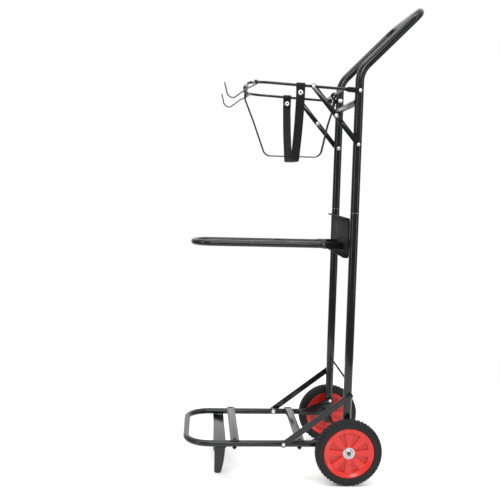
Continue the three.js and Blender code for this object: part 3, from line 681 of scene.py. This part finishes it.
def make_posts():
    for name, side in SIDES.items():
        y = side * POST_Y
        path = [(0, y, POST_FOOT_Z), (0, y, 400), (0, y, POST_TOP_Z)]
        tube = bar(path, POST_R, end=open_end(POST_R, POST_BORE, 8), sides=48)
        piece(f"post_{name}_tube", tube, "frame", PAINT, [f"post_{name}"])
        plug = POST_BORE - 0.3
        cap = [(0, -3), (POST_R - 1, -3), (POST_R, -2), (POST_R, -0.3), (plug, -0.3), (plug, 9), (0, 9)]
        shape = turned(soften(cap, 0.7), (0, y, POST_FOOT_Z), "Z")
        piece(f"post_{name}_plug", shape, "frame", PLASTIC, [f"post_cap_{name}"])
        seam = soften([(11, -1.2), (12.35, -1.2), (12.45, 0), (12.35, 1.3), (11, 1.3), (11, -1.2)], 0.2)
        piece(f"post_{name}_joint_ring", turned(seam, (0, y, POST_TOP_Z), "Z", sides=48), "frame", ZINC)


def make_handle():
    low = POST_TOP_Z + 0.3
    left, right = [
        [(0, s * POST_Y, low), (0, s * POST_Y, HANDLE_BEND_Z), (HANDLE_REACH, s * POST_Y, HANDLE_TOP_Z)]
        for s in (-1, 1)
    ]
    path = bent(left + right[::-1], HANDLE_RADII, HANDLE_STEP)
    end = open_end(POST_R, POST_BORE, 8)
    piece("handle_tube", bar(path, POST_R, end, end, sides=48), "frame", PAINT, ["handle_frame"])


def make_cross_pieces():
    x, z, r, end = CROSS_TUBE.values()
    tube = bar(crosswise(x, z, end), r, sides=40)
    piece("cross_tube", tube, "frame", PAINT, ["upper_cross_tube"])
    z, r, end = CROSS_ROD.values()
    piece("cross_rod", bar(crosswise(0, z, end), r), "frame", MATT, ["lower_cross_rod"])
    for name, side in SIDES.items():
        beads = [
            saddle_weld(CROSS_TUBE["x"], CROSS_TUBE["z"], CROSS_TUBE["r"], side, 1),
            saddle_weld(0, CROSS_ROD["z"], CROSS_ROD["r"], side, 2),
        ]
        piece(f"cross_welds_{name}", join(*beads), "frame", PAINT)


# ---- Wheels ----
def tyre_profile():
    """Half of the tyre's section from bead to crown: (radius, distance from the wheel's middle plane)."""
    return [
        (BEAD_R, 10.5), (BEAD_R, 13.0), (75.2, 15.2), (77.2, 16.6), (79.8, 17.0), (82.2, 16.75),
        (84.6, 16.6), (86.4, 16.8), (88.0, 17.0), (89.8, 16.9), (91.6, 16.4), (93.3, 15.5), (94.8, 14.3),
        (96.1, 12.7), (97.0, 10.8), (97.6, 8.7), (97.9, 6.7), (98.0, 5.2), (98.0, 4.0), (98.0, 3.0),
        (98.0, 2.0), (98.0, 1.0), (98.0, 0.0),
    ]


def tread_depth(angle, r, y):
    """How far a point lies below the tread's surface: slanted notches from the shoulders to a zigzag
    groove along the middle."""
    lug = angle * LUGS / (2 * pi)
    slant = lug + abs(y) / NOTCH["slant"]
    phase = abs((slant % 1.0) - 0.5) * 2
    notch = np.clip((phase - 0.5) / 0.14, 0, 1)
    shoulder = np.clip((r - NOTCH["low"]) / 2.2, 0, 1) * np.clip(abs(y) - 1.5, 0, 1)
    zigzag = abs((lug % 1.0) - 0.5) * 2 - 0.5
    groove = np.clip((GROOVE["half"] - abs(y - zigzag)) / 0.8, 0, 1) * (r > GROOVE["low"])
    return max(NOTCH["depth"] * notch * shoulder, GROOVE["depth"] * groove)


def tyre(side):
    half = tyre_profile()
    section = half + [(r, -y) for r, y in half[-2::-1]]
    inner = [(BEAD_R, -7.0), (BEAD_R, 0.0), (BEAD_R, 7.0)]
    section = np.array(section + inner)
    before, after = np.roll(section, 1, axis=0), np.roll(section, -1, axis=0)
    along = unit(after - before)
    outward = np.stack([along[:, 1], -along[:, 0]], axis=1)
    outward *= np.sign(((section - [84, 0]) * outward).sum(axis=1, keepdims=True) + 1e-9)
    rings = []
    samples = LUGS * LUG_SAMPLES
    for k in range(samples):
        angle = 2 * pi * k / samples
        depth = np.array([tread_depth(angle, r, y) for r, y in section])
        cut = section - outward * depth[:, None]
        r, y = cut[:, 0], cut[:, 1]
        rings.append(np.stack([r * cos(angle), side * y, r * sin(angle)], axis=1))
    return loft(rings, wrap_ends=True)


def pocket_outline(index):
    """A wedge-shaped pocket between two spokes, as (x, z) about the wheel's centre."""
    centre = (index + 0.5) * 2 * pi / POCKETS
    corners = [(POCKET["inner"], -POCKET["narrow"]), (POCKET["inner"], POCKET["narrow"])]
    corners += [(POCKET["outer"], turn) for turn in np.linspace(POCKET["wide"], -POCKET["wide"], 9)]
    points = [(r * cos(centre + turn), r * sin(centre + turn)) for r, turn in corners]
    return soften(points, [1.6, 1.6, 2.0] + [0.0] * 7 + [2.0], 3, closed=True)


def dished(shape):
    """Slopes a rim's flat faces in from the pockets' outer ends to the hub."""
    points, faces = shape
    points = np.array(points, float)
    out = np.clip((np.hypot(points[:, 0], points[:, 2]) - HUB_R) / (POCKET["outer"] - HUB_R), 0, 1)
    points[:, 1] *= (HUB_HALF - 0.7 + (SPOKE_HALF - HUB_HALF + 0.7) * out) / SPOKE_HALF
    return points, faces


def rim(side):
    """The moulded rim about the wheel's centre: dished spokes with pockets, rounded lips and a hub."""
    pockets = [pocket_outline(i) for i in range(POCKETS)]
    bore = circle(BUSH_R + 0.3, sides=40)
    disc = plate(circle(RIM_R - 9, sides=128), -SPOKE_HALF, SPOKE_HALF, holes=[bore, *pockets], edge=0.6)
    bowl = [(15.5, -0.9), (14.8, 0.1), (13, 0.5), (10, 2.0), (7, 3.6)]
    crest = [(4.2, 0.5), (2.6, 0), (1.2, 0.4), (0, 1.6), (0, 6)]
    lip_face = [(RIM_R - inset, SPOKE_HALF + rise) for inset, rise in bowl]
    lip_face += [(RIM_R - inset, RIM_HALF - drop) for inset, drop in crest]
    lip = turned(soften(mirrored(lip_face), 0.9, 3), (0, 0, 0), side=side, sides=160)
    boss = [(BUSH_R + 0.3, -HUB_HALF), (HUB_R + 0.8, -HUB_HALF), (HUB_R + 2.4, -HUB_HALF + 1.6)]
    hub = turned(soften(mirrored(boss), 0.7, 3), (0, 0, 0), side=side, sides=72)
    return join(dished(disc), lip, hub)


def rim_web(side):
    """The wall that closes the pockets of both faces."""
    outline = mirrored([(HUB_R + 1, -WEB_HALF), (RIM_R - 10, -WEB_HALF)])
    return turned(soften(outline, 0.3), (0, 0, 0), side=side, sides=96)


def make_wheels():
    end = closed_end(AXLE_R, 1.2)
    rod = bar(crosswise(AXLE_X, WHEEL_R, AXLE_END_Y), AXLE_R - 0.15, end, end)
    piece("axle_rod", rod, "frame", DARK, ["axle"])
    for name, side in SIDES.items():
        centre = (AXLE_X, side * WHEEL_Y, WHEEL_R)
        wheel = f"wheel_{name}"
        piece(f"tyre_{name}_tread", moved(tyre(side), centre), wheel, RUBBER, [f"tyre_{name}"])
        piece(f"rim_{name}_moulding", moved(rim(side), centre), wheel, RED, [f"rim_{name}"])
        # The web takes the darker red of painted shade in the pockets.
        piece(f"rim_{name}_web", moved(rim_web(side), centre), wheel, RED_SHADED_POCKET)
        inner, outer = POST_Y + POST_R + 0.4 - WHEEL_Y, HUB_HALF + 0.8
        bush = [(5.3, inner), (BUSH_R, inner), (BUSH_R, outer), (5.3, outer), (5.3, inner)]
        shape = turned(soften(bush, 0.5), centre, side=side)
        piece(f"wheel_{name}_bush_sleeve", shape, wheel, PLASTIC, [f"wheel_bush_{name}"])
        seat = outer + 0.3
        washer = [
            (5.35, 0), (17.3, 0), (17.5, 0.7), (16.9, 1.4), (13.2, 1.5), (11.6, 1.9), (10.4, 3.4),
            (8.4, 4.4), (6.4, 4.5), (5.4, 4.0), (5.35, 0),
        ]
        dome = turned(soften([(r, seat + h) for r, h in washer], 0.4), centre, side=side, sides=72)
        piece(f"axle_washer_{name}", dome, "frame", ZINC, [f"axle_nut_{name}"])


# ---- Bucket ring, hooks and straps ----
def ring_z(x):
    """Height of the ring's rod at a distance x from the posts."""
    return RING["pivot"] + RING["rise"] * x / RING["front"]


def flattened_end(side):
    """The rod's end, pressed flat into a lug around the pivot."""
    profile = [(-52, 4, 4), (-46, 4.2, 3.8), (-41, 5.2, 2.9), (-36.5, 6.6, 1.9), (-33, 7.4, 1.45)]
    r, thin = RING_LUG["r"], RING_LUG["half"]
    profile += [(-28, r, thin)]
    turns = np.linspace(0, pi / 2, 9)
    profile += [(r * sin(t), max(r * cos(t), 0.4), thin) for t in turns]
    angles = np.arange(32) * 2 * pi / 32
    c, s = np.cos(angles), np.sin(angles)
    rings = []
    for x, height, half in profile:
        flatness = 1 - 0.55 * min(1, max(0, (x + 46) / 12))
        y = half * np.sign(c) * abs(c) ** flatness
        z = height * np.sign(s) * abs(s) ** flatness
        x_row = np.full(32, float(x))
        rings.append(np.stack([x_row, side * (RING_LUG["middle"] + y), ring_z(x) + z], axis=1))
    return loft(rings)


def hook_point(side):
    """Where the hook's coil sits on the ring's front corner, and the rod's outward direction there."""
    into = HOOK["y"] - (RING["y"] - RING["corner"])
    turn = asin(into / RING["corner"])
    x = RING["front"] + RING["corner"] * (1 - cos(turn))
    outward = np.array([-cos(turn), side * sin(turn), 0])
    return np.array([x, side * HOOK["y"], ring_z(x)]), outward


def make_hook(name, side):
    centre, outward = hook_point(side)
    up = np.array([0, 0, 1.0])
    along = np.cross(outward, up)
    r = RING["r"] + HOOK["r"] + 0.25
    coil = []
    for part in np.linspace(0, 1, COIL["steps"] + 1):
        angle = -pi / 2 - 2 * pi * COIL["turns"] * (1 - part)
        shift = along * COIL["pitch"] * (part - 0.5) * COIL["turns"]
        coil.append(centre + shift + r * (cos(angle) * outward + sin(angle) * up))
    piece(f"hook_coil_{name}", bar(coil, COIL["r"], sides=14), "ring", ZINC)

    y = side * HOOK["y"]
    x, _, z = centre
    dip_x, dip_z = HOOK["low"]
    line = [(x + 1, z - r), (x - 28, z - 22), (dip_x, dip_z), (dip_x - 14, dip_z + 14), HOOK["tip"]]
    path = bent([(u, y, v) for u, v in line], [18, 14, 12], radians(9))
    piece(f"hook_{name}_wire", bar(path, HOOK["r"], sides=16), "ring", DARK, [f"bridle_hook_{name}"])


def make_ring():
    front, y, r = RING["front"], RING["y"], RING["r"]
    rod = bar(hairpin(-48, front, y, ring_z, RING["corner"], 5), r)
    shape = join(rod, flattened_end(-1), flattened_end(1))
    piece("bucket_ring_rod", shape, "ring", PAINT, ["bucket_ring"])

    rear = bar(crosswise(RING_REAR_X, ring_z(RING_REAR_X), y - r + 0.6), r)
    piece("ring_rear_bar", rear, "ring", PAINT, ["ring_rear_rod"])
    for name, side in SIDES.items():
        profile = pin(4, (7, 140.6, 143.2), (5.2, 171.8, 174.7))
        at = (0, RING["pivot"])
        rivet(f"ring_pivot_{name}", profile, at, side, "frame", f"ring_pivot_rivet_{name}")
        make_hook(name, side)


def wrapped_end(x, z, out):
    """Middle line, in the strap's plane, of webbing that wraps a rod at (x, z), from its tail outwards."""
    r = RING["r"] + STRAP_THICK / 2 + 1.1
    layer = STRAP_THICK / 2 + 0.4
    tail, meet = z - 32, z - 12
    turns = np.linspace(-0.35, pi + 0.35, 22)
    around = [(x - out * r * cos(t), z + r * sin(t)) for t in turns]
    inner, outer = x + out * (RING["r"] * 0.3 - layer), x + out * (RING["r"] * 0.3 + layer)
    return [(inner, tail), (inner, meet), *around, (outer, meet), (outer, tail)]


def strap_line(a, b, low):
    """Middle line of a strap from rod a to rod b, each as (x, z), by its low corners (x, z, radius)."""
    first = wrapped_end(*a, copysign(1, a[0] - b[0]))
    second = wrapped_end(*b, copysign(1, b[0] - a[0]))[::-1]
    corners = [(*first[-1], 0), *[(x, z, 0) for x, z, _ in low], (*second[0], 0)]
    run = bent(corners, [radius for _, _, radius in low])[:, :2]
    return np.array([*first[:-1], *run, *second[1:]])


def resampled(line, step):
    """A smoothed copy of a 2-D line with points at even distances."""
    lengths = travelled(line)
    along = np.linspace(0, lengths[-1], int(lengths[-1] / step))
    return np.stack([np.interp(along, lengths, line[:, k]) for k in range(2)], axis=1), along


def strap(line, place):
    """A strap of webbing along a 2-D line; place turns (across, u, v) into a point. Gives shape and UVs."""
    line, along = resampled(line, STRAP_STEP)
    tangent = unit(np.gradient(line, axis=0))
    normal = np.stack([-tangent[:, 1], tangent[:, 0]], axis=1)
    half, thick = STRAP_WIDTH / 2, STRAP_THICK / 2
    face = [(-half + 0.35, 0.62), (-half + 1.1, 1.0), (-half + 2.2, 0.86), (-half + 6, 0.9), (0, 0.88)]
    face += [(-a, t) for a, t in face[-2::-1]]
    section = [(-half, 0.0), *face, (half, 0.0), *[(a, -t) for a, t in face[::-1]]]
    rings, uv = [], []
    for i, (point, out) in enumerate(zip(line, normal)):
        pucker = 1 + 0.03 * sin(along[i] * 0.9)
        ring = [place(a, *(point + out * t * thick * pucker * STRAP_PLUMP)) for a, t in section]
        rings.append(ring)
        uv += [(along[i] * MM, a * MM) for a, _ in section]
    return loft(rings), uv


def stitches(centre, normal, down, across):
    """A sewn box with a cross in it, of short raised stitches, about centre on a strap's face."""
    normal, down, across = (np.array(v, float) for v in (normal, down, across))
    corners = [(-9, -7), (9, -7), (9, 7), (-9, 7)]
    runs = [(corners[i], corners[(i + 1) % 4]) for i in range(4)]
    runs += [(corners[0], corners[2]), (corners[1], corners[3])]
    shapes = []
    for a, b in runs:
        a, b = np.array(a, float), np.array(b, float)
        count = int(np.linalg.norm(b - a) / STITCH)
        for k in range(count):
            ends = [a + (b - a) * (k + t) / count for t in (0.12, 0.5, 0.88)]
            lift = (0.0, 0.22, 0.0)
            path = [centre + across * e[0] + down * e[1] + normal * h for e, h in zip(ends, lift)]
            shapes.append(bar(path, 0.32, [(0, 0.1), (0.2, 0.32)], [(0, 0.1), (0.2, 0.32)], sides=6))
    return join(*shapes)


def eyelet(centre, axis, side):
    half = STRAP_THICK + 0.9
    lip = half + 1.3
    line = [(2.6, 0.5 - lip), (3.4, -lip), (5.4, -lip), (7.2, -half - 0.3), (7.2, -half), (4.2, -half)]
    return turned(soften(mirrored(line), 0.4), centre, axis, side)


def make_straps():
    rod = ring_z(STRAP_SIDE_X)
    low = [(-150, 1035, 300), (-86, 938, 26), (86, 938, 26), (150, 1035, 300)]
    line = strap_line((-RING["y"], rod), (RING["y"], rod), low)
    shape, uv = strap(line, lambda a, u, v: (STRAP_SIDE_X + a, u, v))
    lateral = piece("strap_lateral_webbing", shape, "ring", WEBBING, ["strap_lateral"], uv)

    front, rear = (RING["front"], ring_z(RING["front"])), (RING_REAR_X, ring_z(RING_REAR_X))
    low = [(-286, 1050, 300), (-250, 953, 24), (-82, 953, 24), (-62, 1050, 300)]
    shape, uv = strap(strap_line(front, rear, low), lambda a, u, v: (u, a, v))
    lengthwise = piece("strap_lengthwise_webbing", shape, "ring", WEBBING, ["strap_lengthwise"], uv)

    y = RING["y"] + 1
    ends = {
        "left": ((STRAP_SIDE_X, -y, rod), "Y", -1),
        "right": ((STRAP_SIDE_X, y, rod), "Y", 1),
        "front": ((front[0] - 1, 0, front[1]), "X", -1),
        "rear": ((rear[0] + 1, 0, rear[1]), "X", 1),
    }
    along_x, along_y = np.eye(3)[:2]
    soft = [lateral, lengthwise]
    for name, (top, axis, side) in ends.items():
        normal, across = (along_x, along_y) if axis == "X" else (along_y, along_x)
        hole = np.array(top) - (0, 0, EYELET_DROP)
        ring = piece(f"eyelet_{name}", eyelet(hole, axis, side), "ring", RIVET, [f"strap_eyelet_{name}"])
        face = hole + side * normal * (STRAP_THICK + 0.8)
        sewn = stitches(face, side * normal, (0, 0, 1), across)
        sewn = piece(f"strap_stitches_{name}", sewn, "ring", WEBBING)
        soft += [ring, sewn]
    for obj in soft:
        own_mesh(obj)


# ---- Folding braces of the ring ----
def make_braces():
    foot, arm = BRACE_FOOT, (BRACE_ARM_X, ring_z(BRACE_ARM_X))
    knee = ((foot[0] + arm[0]) / 2, (foot[1] + arm[1]) / 2)
    length = dist(arm, knee)
    past = tuple(k + (k - a) * BRACE["tail"] / length for k, a in zip(knee, arm))
    r, thick, inner = BRACE["width"] / 2, BRACE["thick"], BRACE["inner"]
    outer = inner + thick + 0.3
    head = outer + thick + 0.3
    for name, side in SIDES.items():
        def link(a, b, near, pins):
            holes = [circle(3.9, *p) for p in pins]
            return plate(stadium(a, b, r), side * near, side * (near + thick), holes=holes, edge=0.6)

        lower, upper = f"brace_lower_{name}", f"brace_upper_{name}"
        piece(f"{lower}_link", link(foot, knee, inner, [foot, knee]), lower, PLATE, [lower])
        piece(f"{upper}_link", link(past, arm, outer, [knee, arm]), upper, PLATE, [upper])
        collar = (6.5, 168.9, inner - 0.3)
        rivets = {
            "foot": (foot, pin(3.5, (6, 140.5, 143.2), (4.9, outer, outer + 2.5), collar)),
            "knee": (knee, pin(3.5, (6, 169.1, inner - 0.3), (5.4, head, head + 2.7))),
            "ring": (arm, pin(3.5, (3.5, outer + 0.1, outer + 0.6), (5.2, head, head + 2.6))),
        }
        bodies = {"foot": "frame", "knee": lower, "ring": upper}
        for place, (at, profile) in rivets.items():
            node = f"brace_{place}_rivet_{name}"
            rivet(f"{node}_dome", profile, at, side, bodies[place], node)


# ---- Folding base ----
def make_base():
    z, r, front, rear, corner = BASE.values()
    rail = bar(hairpin(rear, front, POST_Y, lambda _: z, corner, 4), r, sides=40)
    x, pz = BASE_PIVOT
    inner, outer, front, low = HINGE_PLATE.values()
    outline = [(front, low), (-24, low), *arc(12, x, pz, -pi / 4, pi, 14), (front, z + 6)]
    shapes = [rail]
    for name, side in SIDES.items():
        sizes = [3, 8] + [0] * 15 + [3]
        hinge = soften(outline, sizes, 4, closed=True)
        shapes.append(plate(hinge, side * inner, side * outer, holes=[circle(4.4, x, pz)]))
        root, top = side * (outer - 1), side * (POST_Y - r + 0.8)
        shapes.append(plate(rectangle(-92, -44, z - 4, z + 4, 1), root, top, edge=0.8))
        for height, seed in ((z + 5.6, 3), (z - 5.6, 4)):
            line = [(-98 + 4 * k, side * (outer + 2.2), height) for k in range(15)]
            shapes.append(weld(line, 2.2, seed + side))
    piece("base_rail", join(*shapes), "base", PAINT, ["base_frame"])
    for name, side in SIDES.items():
        profile = pin(4, (5.2, 137.0, 139.9), (6.5, 168.9, 171.4))
        rivet(f"base_pivot_{name}", profile, BASE_PIVOT, side, "frame", f"base_pivot_rivet_{name}")
    make_deck()
    make_stand()
    make_stays()


def hexagon(r, x, y):
    return soften(circle(r, x, y, sides=6), 0.5, 2, closed=True)


def make_deck():
    half, reach, low, thick = DECK_BAR.values()
    under = BASE["z"] - BASE["r"] - 0.3
    for place, x in DECK_BARS.items():
        outline = rectangle(x - half, x + half, -reach, reach, 3)
        holes = [circle(6, x, side * POST_Y) for side in SIDES.values()]
        slab = plate(outline, low, low + thick, "XY", holes, edge=0.5)
        piece(f"deck_{place}_strip", slab, "base", PLATE, [f"deck_bar_{place}"])
        for name, side in SIDES.items():
            centre = (x, side * POST_Y, 0)
            screw = [
                (0, under - 3), (3, under - 3), (3, low + 0.4), (5.4, low + 2.8),
                (2.6, low + 2.8), (2.2, low + 1.6), (0, low + 1.4),
            ]
            nut = plate(hexagon(6.4, x, side * POST_Y), under - 3.5, under, "XY", edge=0.4)
            cap = [(0, 8), (1.5, 7.9), (3.4, 6.6), (5.4, 3.2), (0, 3.2)]
            cap = [(r, under - drop) for r, drop in cap]
            shape = join(*[turned(soften(line, 0.3, 2), centre, "Z") for line in (screw, cap)], nut)
            node = f"deck_bolt_{place}_{name}"
            piece(f"{node}_set", shape, "base", MATT, [node])


def make_stand():
    x, half, reach, low, thick = STAND.values()
    strip = plate(rectangle(x - half, x + half, -reach, reach, 6), low, low + thick, "XY", edge=0.5)
    piece("stand_strip", strip, "base", PLATE, ["stand_bar"])
    y, top, bottom, half = FOOT.values()
    high = low - 0.3
    outline = [
        (0, high), (1, 60), (1.5, 4), (5, 0), (bottom - 2, 0), (bottom + 1.5, 6), (bottom + 7, 28),
        (top - 2, 60), (top, high),
    ]
    outline = [(x - top / 2 + back, z) for back, z in outline]
    sizes = [1.5, 20, 3, 3, 5, 6, 20, 20, 1.5]
    for name, side in SIDES.items():
        near, far = side * (y - half), side * (y + half)
        block = plate(soften(outline, sizes, 5, closed=True), near, far, edge=1.6)
        piece(f"foot_{name}_moulding", block, "base", PLASTIC, [f"foot_{name}"])
        screw = [(0, 0.1), (1.2, 0.1), (1.6, 0.9), (3.4, 0.9), (4.2, 0.2), (4.2, -1.5), (0, -1.5)]
        for face, at, out in (("outer", far, side), ("inner", near, -side)):
            head = turned(soften(screw, 0.3, 2), (x - 2, at, 82), side=out, sides=28)
            piece(f"foot_{name}_screw_{face}", head, "base", DARK)


def make_stays():
    (post_x, post_z), (rail_x, rail_z), (pivot_x, pivot_z) = STAY_POST, STAY_RAIL, BASE_PIVOT
    width, thick, inner, tip = STAY.values()
    rise = atan2(post_z - rail_z, post_x - rail_x)
    end = (post_x + tip * cos(rise), post_z + tip * sin(rise))
    # The slot opens the way the post's stud leaves the strip when the base starts to fold.
    stay_turn = (pi - rise) / (pi / 2) - 1
    tip_x = rail_z - pivot_z - stay_turn * (post_z - rail_z)
    tip_z = -(rail_x - pivot_x) + stay_turn * (post_x - rail_x)
    out = atan2(-tip_z, -tip_x)
    slot_r, reach = STAY_SLOT.values()
    mouth = (post_x + reach * cos(out), post_z + reach * sin(out))
    outer, half = inner + thick, width / 2
    for name, side in SIDES.items():
        hole = circle(4.4, *STAY_RAIL)
        strip = plate(stadium(STAY_RAIL, end, half), side * inner, side * outer, holes=[hole], edge=0.6)
        obj = piece(f"stay_{name}_strip", strip, f"stay_{name}", PLATE, [f"stay_{name}"])
        near, far = side * (inner - 3), side * (outer + 3)
        carve(obj, plate(stadium(STAY_POST, mouth, slot_r), near, far, edge=0))

        collar = (6, 165.9, inner - 0.3)
        profile = pin(4, (6.5, 143.4, 146.2), (5.2, outer + 0.3, outer + 3.1), collar)
        rivet(f"stay_rail_rivet_{name}", profile, STAY_RAIL, side, "base", f"stay_rivet_{name}")
        stud = pin(4, (7, 140.2, 143.1), (6.4, outer + 0.3, outer + 4.4), dome=0.3)
        rivet(f"stay_post_stud_{name}", stud, STAY_POST, side, "frame", f"stay_stud_{name}", PLATE)


# ---- Saddle bracket and arm ----
def make_bracket():
    x, thick, low, high, top, bottom, end = BRACKET.values()
    top, bottom = x - top, x - bottom
    section = [
        (top, high), (x + thick, high), (x + thick, low), (bottom, low),
        (bottom, low + thick), (x, low + thick), (x, high - thick), (top, high - thick),
    ]
    section = soften(section, [1, 4.5, 4.5, 1, 1, 1.8, 1.8, 1], 5, closed=True)
    obj = piece("bracket_channel", plate(section, -end, end, edge=0.5), "frame", MATT)
    y, slot_low, slot_high, slot_r = BRACKET_SLOT.values()
    for side in SIDES.values():
        slot = stadium((side * y, slot_low), (side * y, slot_high), slot_r)
        carve(obj, plate(slot, x - 5, x + 9, "YZ", edge=0))
    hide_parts("saddle_bracket")

    inner, ear_thick, r = EAR.values()
    z, pivot = ARM["z"], ARM["pivot"]
    nose = arc(r, pivot, z, pi / 2, pi, 18)
    outline = [(x + 1, z + r), *nose, (x + 1, z - r)]
    for name, side in SIDES.items():
        near, far = side * inner, side * (inner + ear_thick)
        shapes = [plate(outline, near, far, holes=[circle(4.4, pivot, z)], edge=0.6)]
        for y in (near - side * 0.6, far + side * 0.6):
            shapes.append(weld([(x - 0.6, y, z - r + 1 + k) for k in range(int(2 * r) - 1)], 1.6, y))
        for height in (low + thick, high - thick):
            line = [(x - 1 - k, side * (end - 0.3), height) for k in range(9)]
            shapes.append(weld(line, 1.3, height))
        line = [(x + 0.9, side * (end + 2.3), low + 5 + 3 * k) for k in range(36)]
        shapes.append(weld(line, 2.5, side))
        piece(f"bracket_ear_{name}", join(*shapes), "frame", MATT)

    head = inner + ear_thick + 0.3
    half = [(6.2, head + 4.5), (7.3, head + 3.4), (7.5, head + 0.9), (7.5, head), (4, head)]
    bolt = [(0, -head - 4.5), *[(r, -y) for r, y in half], *half[::-1], (0, head + 4.5)]
    shape = turned(soften(bolt, 0.5), (pivot, 0, z))
    piece("arm_pivot_bolt", shape, "frame", DARK, ["saddle_arm_pivot_bolt"])


def make_arm():
    y, r, bore, front, rear, _, z = ARM.values()
    path = hairpin(rear, front + r, y, lambda _: z, y - 0.5, 4)
    end = open_end(r, bore)
    piece("arm_tube", bar(path, r, end, end, sides=40), "saddle_arm", PAINT, ["saddle_arm"])


# ---- Stage, light and camera ----
FLOOR_R = 1.4
SKY_LOW = 0.25  # at the horizon, in front of the object
SKY_HIGH = 1.5  # overhead
SKY_WALL = 0.7  # added behind the object


def make_stage():
    """A round pale floor, as bright as the white of the room."""
    points = [(x, y, 0) for x, y in circle(FLOOR_R, sides=96)]
    mesh = bpy.data.meshes.new("floor")
    mesh.from_pydata(points, [], [list(range(len(points)))])
    look = Look("pale_floor", (0.93, 0.93, 0.93), 0.9, Specular_IOR_Level=0.1)
    look.colour(look.noise(3, 3), (0.96, 0.96, 0.96), (0.98, 0.98, 0.98))
    mesh.materials.append(look.material)
    floor = add_object("floor", mesh)


def make_world():
    """Soft white light, brighter from above and from behind the object, before a plain white backdrop."""
    world = bpy.data.worlds.new("studio")
    bpy.context.scene.world = world
    world.use_nodes = True
    tree = world.node_tree

    def smooth(value, low, high, to_low, to_high):
        inputs = {0: value, 1: low, 2: high, 3: to_low, 4: to_high}
        return add_node(tree, "ShaderNodeMapRange", inputs, interpolation_type="SMOOTHSTEP").outputs[0]

    direction = add_node(tree, "ShaderNodeTexCoord").outputs["Generated"]
    split = add_node(tree, "ShaderNodeSeparateXYZ", {0: direction})
    above = smooth(split.outputs["Z"], 0.0, 1.0, SKY_LOW, SKY_HIGH)
    behind = smooth(split.outputs["Y"], 0.4, 0.95, 0.0, SKY_WALL)
    total = add_node(tree, "ShaderNodeMath", {0: above, 1: behind})
    seen = add_node(tree, "ShaderNodeLightPath").outputs["Is Camera Ray"]
    strength = add_node(tree, "ShaderNodeMix", {0: seen, 2: total.outputs[0], 3: 1.0})
    sky = tree.nodes["Background"]
    sky.inputs["Color"].default_value = (1, 1, 1, 1)
    tree.links.new(strength.outputs[0], sky.inputs["Strength"])
    bpy.context.scene.view_settings.view_transform = "Standard"


def area_light(name, place, target, size, radiance):
    """A rectangular softbox; its power follows from its size and brightness."""
    data = bpy.data.lights.new(name, "AREA")
    data.shape = "RECTANGLE"
    data.size, data.size_y = size
    data.energy = radiance * size[0] * size[1] * pi
    lamp = add_object(name, data)
    lamp.location = place
    lamp.rotation_euler = (Vector(target) - Vector(place)).to_track_quat("-Z", "Y").to_euler()


def make_lights():
    aim = (0.0, 0.0, 0.7)
    area_light("overhead", (-0.2, -0.6, 3.0), aim, (2.2, 0.5), 6.5)
    area_light("front_high", (0.0, -2.9, 2.0), (0.0, 0.0, 0.4), (1.0, 0.55), 11)
    area_light("left_strip", (-2.2, -1.6, 1.3), aim, (0.35, 2.2), 6)
    area_light("right_strip", (2.3, -1.5, 1.2), aim, (0.5, 2.2), 4)


# The viewpoint of the photograph: metres, millimetres on a 36 mm sensor, and radians.
CAMERA = {"place": (-0.2940, -2.3425, 0.8894), "lens": 55.49}
CAMERA_TURN = {"Z": -0.0657, "X": -0.095, "Y": -0.0263}


def make_camera():
    data = bpy.data.cameras.new("camera")
    data.sensor_width = 36
    data.lens = CAMERA["lens"]
    yaw, pitch, roll = (Matrix.Rotation(angle, 3, axis) for axis, angle in CAMERA_TURN.items())
    right, ahead, up = (yaw @ pitch @ roll).col
    basis = Matrix((right, up, -ahead)).transposed().to_4x4()
    camera = add_object("camera", data)
    camera.matrix_world = Matrix.Translation(CAMERA["place"]) @ basis
    bpy.context.scene.camera = camera


make_posts()
make_handle()
make_cross_pieces()
make_wheels()
make_ring()
make_straps()
make_braces()
make_base()
make_bracket()
make_arm()
make_stage()
make_world()
make_lights()
make_camera()
